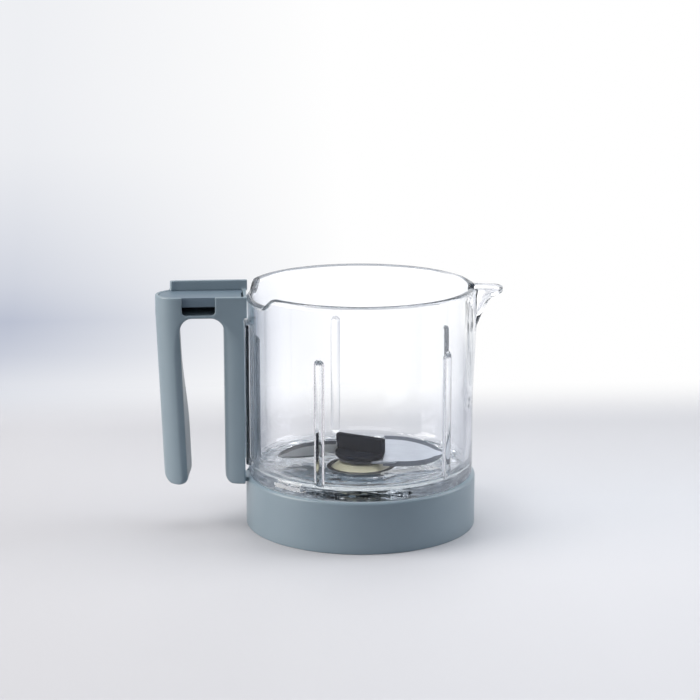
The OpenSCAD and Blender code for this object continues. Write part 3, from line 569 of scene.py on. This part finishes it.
handle = {
    "reach": 119.8, "half": 13.75, "back": 66.8, "wall": 2.0, "ledge": 3.6,
    "bridgeLow": 126.9, "floorTop": 128.6, "catchLow": 133.4, "top": 139.3,
    "windowLow": -104.4, "windowHigh": -85.2, "windowCorner": 2.4,
    "stopThickness": 2.8, "stopStart": 111.4, "stopGap": 0.8, "stopLow": 138.8, "stopTop": 144.7,
    "legEnd": 27.0, "fillet": 8.0, "toeEdge": 1.5,
    "postBack": 68.7, "postFront": 80.3, "postToe": 5.0, "postEdge": (1.0, 1.0), "postRound": (9.4, 6.4),
    "postRoundLow": 110, "postRoundHigh": 127,
    "gripThickness": 13.8, "lean": 2.1, "leanFrom": 128.9, "outerToe": 5.6, "innerToe": 4.0,
    "crown": 2.4, "crownLow": 58, "crownHigh": 104, "crownToe": 8, "crownSlope": 7.2,
    "gripEdge": (2.0, 2.2), "gripRound": (4.5, 2.3), "gripRoundLow": 104, "gripRoundHigh": 124,
    "rod": -74.5, "bore": 3.5, "guideBore": 4.62, "guideTop": 37.0, "voxel": 0.5, "passes": 5,
    "tongue": [(-69.0, -8.0, 27.1), (-53.6, 8.0, 29.6)],
}
lidCatch = {
    "inset": 2.2, "low": 133.4, "high": 138.8, "edge": 0.35,
    "slotDepth": 1.3, "slotLow": -10.5, "slotHigh": 2.5,
}


def outlineSlab(bm, points, low, high, width=0.0, segments=3):
    # Flat slab of an outline, with its upper and lower edges rounded over.
    bottom = [bm.verts.new((x * mm, y * mm, low * mm)) for x, y in points]
    top = [bm.verts.new((x * mm, y * mm, high * mm)) for x, y in points]
    faces = [bm.faces.new(bottom[::-1]), bm.faces.new(top)]
    for i in range(len(points)):
        n = (i + 1) % len(points)
        bm.faces.new((bottom[i], bottom[n], top[n], top[i]))
    if width > 0:
        edges = list({e for face in faces for e in face.edges})
        bmesh.ops.bevel(bm, geom=edges, offset=width * mm, affect="EDGES", segments=segments, profile=0.5,
                        material=-1, clamp_overlap=True)


def loftRings(bm, rings):
    # Skin over sections of equal point counts, closed at both ends. Gives back the sides, ring by ring.
    made = [[bm.verts.new([c * mm for c in point]) for point in ring] for ring in rings]
    sides = []
    for ring, after in zip(made, made[1:]):
        for k in range(len(ring)):
            n = (k + 1) % len(ring)
            sides.append(bm.faces.new((ring[k], ring[n], after[n], after[k])))
    bm.faces.new(made[0][::-1])
    bm.faces.new(made[-1])
    return sides


def bridgePlan():
    # Straight towards the glass, round at the grip.
    reach, half, back = handle["reach"], handle["half"], handle["back"]
    return [(-back, -half), (-back, half)] + arcPoints(half - reach, 0, half, 90, 270, 40)


def toe(radius, height):
    # How far a rounded lower corner draws in at a height above the leg's end.
    return radius - math.sqrt(max(radius ** 2 - max(radius - height, 0) ** 2, 0))


def filletAt(z):
    # How far the legs' facing sides curve out where they run into the bridge.
    h = handle
    rise = min(max(z - h["bridgeLow"] + h["fillet"], 0), h["fillet"])
    return h["fillet"] - math.sqrt(h["fillet"] ** 2 - rise ** 2)


def postRing(z):
    # Section of the leg beside the glass, rounder towards its lower end.
    h = handle
    soft = 1 - smoothStep(h["postRoundLow"], h["postRoundHigh"], z)
    rx, ry = (edge + more * soft for edge, more in zip(h["postEdge"], h["postRound"]))
    front = h["postFront"] + filletAt(z)
    half = h["half"] - toe(h["toeEdge"], z - h["legEnd"])
    draw = toe(h["postToe"], z - h["legEnd"])
    ring = [(-h["postBack"], half)]
    for side, start in ((1, 90), (-1, 180)):
        turns = [math.radians(start + 9 * k) for k in range(11)]
        ring += [(rx - front + rx * math.cos(t), side * (half - ry) + ry * math.sin(t)) for t in turns]
    ring += [(-h["postBack"], -half)]
    return [(max(x, -front + draw), y, z) for x, y in ring]


def gripRing(z):
    # Section of the grip: half round outside, crowned towards the fingers, softer towards its lower end.
    h = handle
    shift = math.tan(math.radians(h["lean"])) * (h["leanFrom"] - z)
    half = h["half"]
    inner = -h["reach"] + h["gripThickness"] + shift + filletAt(z)
    crown = h["crown"] * (1 - smoothStep(h["crownLow"], h["crownHigh"], z))
    crown *= smoothStep(h["legEnd"] - 1, h["legEnd"] + h["crownToe"], z)
    face = inner - toe(h["innerToe"], z - h["legEnd"])
    soft = 1 - smoothStep(h["gripRoundLow"], h["gripRoundHigh"], z)
    edgeX, edgeY = h["gripEdge"]
    rx, ry = edgeX + h["gripRound"][0] * soft, edgeY + h["gripRound"][1] * soft
    apex, middle = shift - h["reach"], half - h["reach"] + shift
    ring = [(x + shift, y) for x, y in arcPoints(half - h["reach"], 0, half, 90, 180, 15)]
    for k in range(1, 25):
        x = apex + (face - apex) * (1 - math.cos(math.pi * k / 24)) / 2
        outside = math.sqrt(max(half ** 2 - min(x - middle, 0) ** 2, 0))
        corner = half - ry + ry * math.sqrt(max(1 - (max(x - face + rx, 0) / rx) ** 2, 0))
        ring.append((x, -min(outside, corner)))
    ring += [(face + crown * min(k / h["crownSlope"], 1), ry - half + (2 * half - ry - edgeY) * k / 12)
             for k in range(13)]
    turns = [math.radians(18 * k) for k in range(1, 6)]
    ring += [(face + crown - edgeX + edgeX * math.cos(t), half - edgeY + edgeY * math.sin(t)) for t in turns]
    low = -h["reach"] + shift + toe(h["outerToe"], z - h["legEnd"])
    squeeze = 1 - toe(h["toeEdge"], z - h["legEnd"]) / half
    return [(max(x, low), y * squeeze, z) for x, y in ring]


def trayWall(thickness):
    # Plan of the tray's wall, open where the lid's hook enters.
    h = handle
    sides = []
    for inset in (0, thickness):
        back, half = h["back"] + inset, h["half"] - inset
        side = [(h["windowHigh"], -half), (-back, -half), (-back, half)]
        side += arcPoints(h["half"] - h["reach"], 0, half, 90, 270, 40) + [(h["windowLow"], -half)]
        sides.append(side)
    return sides[0] + sides[1][::-1]


def stopPlan():
    # Plan of the raised wall that stops the lid.
    h = handle
    half, near = h["half"], h["stopGap"] - h["back"]
    turn = math.degrees(math.acos((h["stopStart"] - h["reach"] + half) / half))
    outer, inner = ([(near, radius)] + arcPoints(half - h["reach"], 0, radius, 90, 180 - turn, 10)
                    for radius in (half, half - h["stopThickness"]))
    return outer + inner[::-1]


def fuseSkin(bm, voxelMm, passes, cutter):
    # Overlapping solids become one closed skin, its edges worn round, with a bore cut afterwards.
    holder = meshObject("fusing", bm)
    remesh = holder.modifiers.new("skin", "REMESH")
    remesh.mode = "VOXEL"
    remesh.voxel_size = voxelMm * mm
    smooth = holder.modifiers.new("wear", "SMOOTH")
    smooth.factor = 0.5
    smooth.iterations = passes
    cut = holder.modifiers.new("bore", "BOOLEAN")
    cut.operation = "DIFFERENCE"
    cut.solver = "EXACT"
    cut.object = cutter
    found = holder.evaluated_get(bpy.context.evaluated_depsgraph_get())
    skin = bmesh.new()
    skin.from_mesh(found.to_mesh())
    found.to_mesh_clear()
    for item in (holder, cutter):
        spare = item.data
        bpy.data.objects.remove(item)
        bpy.data.meshes.remove(spare)
    return skin


def buildHandle():
    h = handle
    bm = bmesh.new()
    levels = [h["legEnd"] + k for k in (0, 0.15, 0.4, 0.8, 1.3, 2, 3, 4, 5, 6, 7)]
    levels += [36 + 4 * k for k in range(19)] + [110 + 1.5 * k for k in range(11)]
    levels += [125.8, 126.4, 126.7, h["bridgeLow"], 127.6]
    loftRings(bm, [gripRing(z) for z in levels])
    loftRings(bm, [postRing(z) for z in levels])
    outlineSlab(bm, bridgePlan(), h["bridgeLow"], h["floorTop"])
    outlineSlab(bm, trayWall(h["ledge"]), h["bridgeLow"] + 0.5, h["catchLow"])
    outlineSlab(bm, trayWall(h["wall"]), h["bridgeLow"] + 0.5, h["top"])
    outlineSlab(bm, stopPlan(), h["stopLow"], h["stopTop"])
    radius = h["windowCorner"]
    for side, edge, end in ((1, h["windowLow"], -180), (-1, h["windowHigh"], 0)):
        corner = arcPoints(edge + side * radius, h["floorTop"] + radius, radius, -90, end, 6)
        corner += [(edge - side, h["floorTop"] + radius), (edge - side, h["floorTop"] - 0.6),
                   (edge + side * radius, h["floorTop"] - 0.6)]
        loftRings(bm, [[(x, y, z) for x, z in corner] for y in (-h["half"], h["wall"] - h["half"])])
    (left, near, low), (right, far, high) = h["tongue"]
    outlineSlab(bm, [(left, near), (right, near), (right, far), (left, far)], low, high)
    bmesh.ops.recalc_face_normals(bm, faces=bm.faces)
    bore = bmesh.new()
    low, shoulder, high = h["legEnd"] - 2, h["guideTop"], h["floorTop"] + 2
    spinProfile(bore, [(0, low), (h["guideBore"], low), (h["guideBore"], shoulder), (h["bore"], shoulder),
                       (h["bore"], high), (0, high)], 64, False)
    bmesh.ops.translate(bore, verts=bore.verts, vec=(h["rod"] * mm, 0, 0))
    skin = fuseSkin(bm, h["voxel"], h["passes"], meshObject("bore", bore))
    print("handle:", len(skin.faces), "faces, open edges", sum(len(e.link_faces) != 2 for e in skin.edges))
    finishPiece("handleShell", skin, slatePlastic, "bowl", ["handle_shell"], 50)


def buildLidCatch():
    c = lidCatch
    reach, half = handle["reach"] - c["inset"], handle["half"] - c["inset"]
    back = handle["back"] + c["inset"]
    plan = [(-back, -half), (-back, c["slotLow"]), (-back - c["slotDepth"], c["slotLow"])]
    plan += [(-back - c["slotDepth"], c["slotHigh"]), (-back, c["slotHigh"]), (-back, half)]
    plan += arcPoints(half - reach, 0, half, 90, 270, 48)
    bm = bmesh.new()
    outlineSlab(bm, plan, c["low"], c["high"], c["edge"])
    finishPiece("lidCatch", bm, deckPaintedShadePlastic, "bowl", ["lid_catch"], 35)


buildHandle()
buildLidCatch()
print("handle built")


# Blade: two twisted leaf-shaped arms on a flat plate

blade = {
    "tipRadius": 49.0, "rootX": 13.0, "hubClear": 15.25, "width": 22.0, "thickness": 1.5, "edgeLand": 0.35,
    "bevel": 3.2, "pitch": 34.0, "twist": 10.0, "rise": 5.6, "droop": 3.4, "back": 3.3, "sweep": 5.3,
    "blunt": 0.5, "angle": -4.0, "plateHeight": 38.0, "plateRadius": 13.0, "plateHole": 4.0,
    "foot": [(0, -3), (0, -12.4), (19, -11.8), (23, -9.4), (20, -6), (11, -3)],
}


def bladeSection(t):
    # Section across an arm, from its root at 0 to its tip at 1.
    b = blade
    half = b["width"] / 2 * max(1 - t ** 2.3, 0) ** 0.66 + b["blunt"]  # the powers give the leaf's outline
    thick, bevel = b["thickness"] / 2, min(b["bevel"], half * 0.6)
    tilt = math.radians(b["pitch"] + b["twist"] * t)
    middleY = -b["back"] + b["sweep"] * t ** 3
    middleZ = b["plateHeight"] + b["rise"] - b["droop"] * t ** 1.5
    section = [(-half, -b["edgeLand"]), (-half + bevel, -thick), (0, -thick), (half - bevel, -thick),
               (half, b["edgeLand"]), (half - bevel, thick), (0, thick), (-half + bevel, thick)]
    points = []
    for across, up in section:
        y = middleY + across * math.cos(tilt) - up * math.sin(tilt)
        z = middleZ + across * math.sin(tilt) + up * math.cos(tilt)
        root = max(b["rootX"], math.sqrt(max(b["hubClear"] ** 2 - y * y, 0)))
        points.append((root + (b["tipRadius"] - root) * t, y, z))
    return points


def buildBlade():
    b = blade
    bm = bmesh.new()
    mask = bm.loops.layers.uv.new("bevelMask")
    low, high = b["plateHeight"], b["plateHeight"] + b["thickness"]
    sections = [bladeSection((i / 44) ** 0.92) for i in range(45)]
    for side in (0, 180):
        turn = turnAboutAxis(side)
        sides = loftRings(bm, [[turn @ Vector(p) for p in section] for section in sections])
        for i, face in enumerate(sides):
            for loop in face.loops:
                loop[mask].uv = (1.0 if i % 8 in (0, 3, 4, 7) else 0.0, 0.0)  # the bevels
        foot = [(turn @ Vector((x, y, 0)))[:2] for x, y in b["foot"]]
        outlineSlab(bm, foot, low + 0.02, high - 0.02, 0.2, 2)
    spinProfile(bm, [(b["plateHole"], low), (b["plateRadius"], low), (b["plateRadius"], high),
                     (b["plateHole"], high)], 96)
    bmesh.ops.rotate(bm, verts=bm.verts, cent=(0, 0, 0), matrix=turnAboutAxis(b["angle"]))
    finishPiece("bladeArms", bm, bladeSteel, "rotor", ["blade"], 7)


# Moulded grip on the blade: a low round hub with a straight fin across it

grip = {
    "hubRadius": 15.0, "hubLow": 39.5, "hubHigh": 43.1, "spindle": 4.0, "edge": 0.8,
    "finLength": 31.0, "finThickness": 4.8, "finHigh": 51.9, "angle": -34.0,
}


def buildGrip():
    g = grip
    bm = bmesh.new()
    radius, low, high, edge = g["hubRadius"], g["hubLow"], g["hubHigh"], g["edge"]
    profile = [(g["spindle"], low), (radius - 1.6, low)] + arcPoints(radius - 0.5, low + 1.4, 0.5, -50, 0, 3)
    profile += arcPoints(radius - edge, high - edge, edge, 0, 90, 6) + [(9, high), (g["spindle"], high)]
    spinProfile(bm, profile, 128)
    reach, half = g["finLength"] / 2, g["finThickness"] / 2
    spread = math.degrees(math.asin(half / reach))
    outline = arcPoints(0, 0, reach, -spread, spread, 6)
    outline += arcPoints(0, 0, reach, 180 - spread, 180 + spread, 6)
    outlineSlab(bm, outline, high - 0.6, g["finHigh"], edge, 4)
    bmesh.ops.rotate(bm, verts=bm.verts, cent=(0, 0, 0), matrix=turnAboutAxis(g["angle"]))
    finishPiece("bladeGrip", bm, blackPlastic, "rotor", ["blade_grip"], 35)


# Bearing housing with its cone, and the black gasket under its flange

housing = {
    "bore": 10.2, "shank": 13.6, "shankEnd": 13.0, "flangeLow": 32.4, "flange": 17.3, "flangeEdge": 33.0,
    "topRadius": 13.0, "top": 36.4, "sealRadius": 8.5, "sealFloor": 33.2, "bushRadius": 7.0,
    "bushFloor": 25.1, "lipRadius": 5.4, "lipLow": 23.9,
    "gasketLow": 31.5, "gasketInner": 14.3, "gasketOuter": 19.9, "gasketTop": 33.9,
}


def buildHousing():
    h = housing
    bore, shank, end, under = h["bore"], h["shank"], h["shankEnd"], h["flangeLow"]
    flange, radius, top, seal, bush = h["flange"], h["topRadius"], h["top"], h["sealFloor"], h["bushFloor"]
    profile = [(bore, end + 0.3), (bore + 0.3, end), (shank - 0.4, end), (shank, end + 0.4), (shank, under)]
    profile += [(flange - 0.3, under), (flange, under + 0.2), (flange, h["flangeEdge"])]
    profile += [(radius + 0.3, top - 0.6)] + arcPoints(radius - 0.6, top - 0.7, 0.7, 20, 90, 5)
    profile += [(h["sealRadius"], top), (h["sealRadius"], seal), (h["bushRadius"], seal)]
    profile += [(h["bushRadius"], bush), (h["lipRadius"], bush), (h["lipRadius"], h["lipLow"])]
    profile += [(bore, h["lipLow"])]
    bm = bmesh.new()
    spinProfile(bm, profile, 144)
    finishPiece("bearingHousing", bm, ivoryPlastic, "blade_unit", ["bearing_housing"], 35)


def buildHousingGasket():
    h = housing
    inner, outer, low, high = h["gasketInner"], h["gasketOuter"], h["gasketLow"], h["gasketTop"]
    profile = [(inner, low), (outer - 0.3, low), (outer, low + 0.3)]
    profile += arcPoints(outer - 0.6, high - 0.6, 0.6, 0, 90, 6)
    profile += arcPoints(h["flange"] + 0.6, high - 0.5, 0.5, 90, 180, 5)
    profile += [(h["flange"] + 0.1, h["flangeLow"]), (inner, h["flangeLow"])]
    bm = bmesh.new()
    spinProfile(bm, profile, 128)
    finishPiece("housingGasket", bm, blackRubber, "blade_unit", ["housing_gasket"], 35)


buildBlade()
buildGrip()
buildHousing()
buildHousingGasket()
print("blade unit built")


# Materials of the CAD nodes that stay

finishes = {
    "foot_gasket": silicone, "handle_bond_pad": greySilicone, "handle_screws": brightSteel,
    "interlock_rod": ivoryPlastic, "interlock_spring": springSteel, "rod_guide": greyPlastic,
    "upper_bush": bronze, "lower_bush": bronze, "shaft_seal": blackRubber, "spindle": brightSteel,
    "thrust_washer": brightSteel, "circlip": springSteel, "blade_washer": brightSteel, "nut_gasket": silicone,
    "wing_nut": greyPlastic, "drive_coupling": greyPlastic,
}
for name, material in finishes.items():
    mesh = nodes[name].data
    mesh.materials.clear()
    mesh.materials.append(material)


# Floor, backdrop, lamps and camera

studio = {
    "floorPaintedShadeLeft": "#b4b5b9", "floorRight": "#c6c8cd", "floorPaintedShadePlace": [("x", -250, 120)],
    "backShade": 0.16, "backPlace": [("y", 30, 200), ("x", -200, 0)],
    "frontShade": 0.7, "bounceShade": 0.6, "frontPlace": [("y", -80, -200)],
    "skyColour": "#ffffff", "skyPlace": [("y", 205, 335)], "throughGlass": 0.24,
    "roundPlace": [("d", 360, 800)], "nearPlace": [("y", -50, -200)],
    "duskColour": "#bcc2d2", "duskPlace": [("x", 40, -250)],
    "duskByDepth": [(0.0, 0.0), (0.2, 0.45), (0.355, 0.56), (0.45, 0.83), (0.54, 1.0), (0.61, 0.74),
                    (0.70, 0.52), (0.775, 0.34), (0.825, 0.3), (0.9, 0.28)],
    "airNear": "#868e9e", "airFar": "#ffffff", "airStrength": 0.5,
    "leftLamp": 20.0, "rightLamp": 10.5, "topLamp": 9.0, "frontLamp": 7.0,
}


def paintedSweep():
    # Painted paper sweep: matt under the bowl and painted darker towards the left, as painted shade, white
    # with its own light far behind and all round, and a cooler painted dusk behind on the left. Behind the
    # bowl on the right it has painted shade, and its near part has painted shade for what mirrors it and for
    # bounced light, as a flag would cast it. Seen through glass its glow is painted brighter.
    material, tree, shader = newMaterial("paintedSweep", {
        "Base Color": linearColour(studio["floorRight"]), "Roughness": 0.5, "IOR": 1.4})
    along = alongBowl(tree)
    rays = addNode(tree, "ShaderNodeLightPath").outputs
    direct = addNode(tree, "ShaderNodeMath", {"operation": "SUBTRACT", 0: 1.0},
                     {1: rays["Is Transmission Ray"]}).outputs[0]
    # A ray that has gone through glass counts as glossy too.
    mirrored = addNode(tree, "ShaderNodeMath", {"operation": "MULTIPLY"},
                       {0: rays["Is Glossy Ray"], 1: direct}).outputs[0]
    bounced = addNode(tree, "ShaderNodeMath", {"operation": "MULTIPLY_ADD", 1: studio["bounceShade"]},
                      {0: rays["Is Diffuse Ray"], 2: mirrored}).outputs[0]
    # Painted shade: the floor is painted darker towards the left.
    paint = addNode(tree, "ShaderNodeMix", {
        "data_type": "RGBA", 6: linearColour(studio["floorPaintedShadeLeft"]), 7: linearColour(studio["floorRight"])},
        {"Factor": placeMask(tree, along, studio["floorPaintedShadePlace"])}).outputs[2]
    # Painted shade behind the bowl on the right, and in front for reflected and bounced rays.
    for seenBy, limits, shade in ((direct, studio["backPlace"], studio["backShade"]),
                                  (bounced, studio["frontPlace"], studio["frontShade"])):
        paint = addNode(tree, "ShaderNodeMix", {"data_type": "RGBA", 7: [0, 0, 0, 1]},
                        {"Factor": placeMask(tree, along, limits, shade, seenBy), 6: paint}).outputs[2]
    tree.links.new(paint, shader.inputs["Base Color"])
    near = placeMask(tree, along, studio["nearPlace"], there=mirrored)
    far = placeMask(tree, along, studio["roundPlace"], change="SMOOTHSTEP")
    far = addNode(tree, "ShaderNodeMath", {"operation": "SUBTRACT", "use_clamp": True},
                  {0: far, 1: near}).outputs[0]
    back = placeMask(tree, along, studio["skyPlace"], change="SMOOTHSTEP")
    far = addNode(tree, "ShaderNodeMath", {"operation": "MAXIMUM"}, {0: back, 1: far}).outputs[0]
    seen = addNode(tree, "ShaderNodeMath", {"operation": "MAXIMUM"},
                   {0: rays["Is Camera Ray"], 1: rays["Is Glossy Ray"]}).outputs[0]
    seen = addNode(tree, "ShaderNodeMath", {"operation": "MAXIMUM"},
                   {0: seen, 1: rays["Is Transmission Ray"]}).outputs[0]
    amount = addNode(tree, "ShaderNodeMath", {"operation": "MULTIPLY"}, {0: far, 1: seen})
    depth = addNode(tree, "ShaderNodeValToRGB", None, {"Fac": along["y"]})
    stops = depth.color_ramp.elements
    for place, value in studio["duskByDepth"][:-2]:
        stops.new(place)
    for stop, (place, value) in zip(stops, studio["duskByDepth"]):
        stop.position = place
        stop.color = (value, value, value, 1.0)
    dusk = placeMask(tree, along, studio["duskPlace"], there=depth.outputs["Color"])
    sky = addNode(tree, "ShaderNodeMix", {
        "data_type": "RGBA", 6: linearColour(studio["skyColour"]), 7: linearColour(studio["duskColour"])},
        {"Factor": dusk})
    # Painted light: the glow is brighter where it is seen through glass.
    boost = addNode(tree, "ShaderNodeMath", {"operation": "MULTIPLY_ADD", 1: studio["throughGlass"], 2: 1.0},
                    {0: rays["Is Transmission Ray"]})
    glow = addNode(tree, "ShaderNodeEmission", None, {"Color": sky.outputs[2], "Strength": boost.outputs[0]})
    mix = addNode(tree, "ShaderNodeMixShader", None,
                  {"Fac": amount.outputs[0], 1: shader.outputs[0], 2: glow.outputs[0]})
    output = [n for n in tree.nodes if n.type == "OUTPUT_MATERIAL"][0]
    tree.links.new(mix.outputs[0], output.inputs["Surface"])
    return material


def buildFloor():
    # Sweep in metres: flat under the bowl, curving up behind it.
    bm = bmesh.new()
    path = [(-3.0, 0.0), (-1.0, 0.0), (-0.3, 0.0), (0.3, 0.0)] + arcPoints(0.45, 0.5, 0.5, -90, -8, 16)
    path += [(0.98, 1.2), (1.05, 2.6)]
    line = [bm.verts.new((-3.0, y, z)) for y, z in path]
    edges = [bm.edges.new(pair) for pair in zip(line, line[1:])]
    out = bmesh.ops.extrude_edge_only(bm, edges=edges)["geom"]
    bmesh.ops.translate(bm, verts=[v for v in out if isinstance(v, bmesh.types.BMVert)], vec=(6.0, 0, 0))
    bmesh.ops.recalc_face_normals(bm, faces=bm.faces)
    for face in bm.faces:
        face.smooth = True
    if sum(f.normal.z for f in bm.faces) < 0:
        bmesh.ops.reverse_faces(bm, faces=bm.faces)
    floor = meshObject("studioFloor", bm)
    floor.data.materials.append(paintedSweep())


def addLamp(name, place, target, size, power, colour, mirrored=True):
    # Softbox that faces a place on the bowl, and shows in polished faces unless it says not.
    lamp = bpy.data.lights.new(name, "AREA")
    lamp.shape = "RECTANGLE"
    lamp.size, lamp.size_y = size
    lamp.energy = power
    lamp.color = linearColour(colour)[:3]
    holder = bpy.data.objects.new(name, lamp)
    holder.location = place
    holder.rotation_euler = (Vector(target) - Vector(place)).to_track_quat("-Z", "Y").to_euler()
    holder.visible_glossy = mirrored
    scene.collection.objects.link(holder)


def buildWorld():
    # Lights the bowl greyer from the front than from behind, and is plain white where it is seen itself.
    world = bpy.data.worlds.new("studioAir")
    world.use_nodes = True
    tree = world.node_tree
    tree.nodes.clear()
    way = addNode(tree, "ShaderNodeTexCoord").outputs["Generated"]
    parts = addNode(tree, "ShaderNodeSeparateXYZ", None, {"Vector": way})
    depth = addNode(tree, "ShaderNodeMapRange", {"From Min": -0.5, "From Max": 0.5},
                    {"Value": parts.outputs["Y"]})
    tone = addNode(tree, "ShaderNodeMix", {
        "data_type": "RGBA", 6: linearColour(studio["airNear"]), 7: linearColour(studio["airFar"])},
        {"Factor": depth.outputs[0]})
    air = addNode(tree, "ShaderNodeBackground", {"Strength": studio["airStrength"]},
                  {"Color": tone.outputs[2]})
    white = addNode(tree, "ShaderNodeBackground", {"Color": linearColour("#ffffff"), "Strength": 1.0})
    rays = addNode(tree, "ShaderNodeLightPath").outputs
    seen = addNode(tree, "ShaderNodeMath", {"operation": "MAXIMUM"},
                   {0: rays["Is Camera Ray"], 1: rays["Is Transmission Ray"]})
    mix = addNode(tree, "ShaderNodeMixShader", None,
                  {"Fac": seen.outputs[0], 1: air.outputs[0], 2: white.outputs[0]})
    addNode(tree, "ShaderNodeOutputWorld", None, {"Surface": mix.outputs[0]})
    scene.world = world


buildFloor()
buildWorld()
addLamp("leftSoftbox", (-1.15, -0.16, 0.62), (-0.03, 0, 0.07), (0.9, 1.1), studio["leftLamp"], "#fff8f1")
addLamp("rightSoftbox", (1.15, 0.1, 0.7), (0, 0, 0.08), (0.7, 1.1), studio["rightLamp"], "#ffffff")
addLamp("topSoftbox", (0.0, 0.3, 1.25), (0, 0, 0.05), (1.3, 0.9), studio["topLamp"], "#ffffff")
addLamp("frontFill", (-0.45, -1.7, 0.9), (-0.02, 0, 0.08), (1.6, 1.2), studio["frontLamp"], "#f7f9ff", False)

viewpoint = {"place": (-0.09719, -1.20891, 0.38399), "forward": (0.0731, 0.9716, -0.2251), "lens": 108.81}


def buildCamera():
    cameraData = bpy.data.cameras.new("viewpoint")
    cameraData.lens = viewpoint["lens"]
    cameraData.sensor_width = 36.0
    cameraData.clip_start = 0.05
    cameraData.clip_end = 50
    camera = bpy.data.objects.new("viewpoint", cameraData)
    camera.location = viewpoint["place"]
    camera.rotation_euler = Vector(viewpoint["forward"]).to_track_quat("-Z", "Y").to_euler()
    scene.collection.objects.link(camera)
    scene.camera = camera


buildCamera()
scene.view_settings.view_transform = "Standard"
# Light runs many times to and fro inside thick glass.
scene.cycles.max_bounces = 72
scene.cycles.glossy_bounces = 64
scene.cycles.transmission_bounces = 64
scene.cycles.transparent_max_bounces = 16
print("stage set")
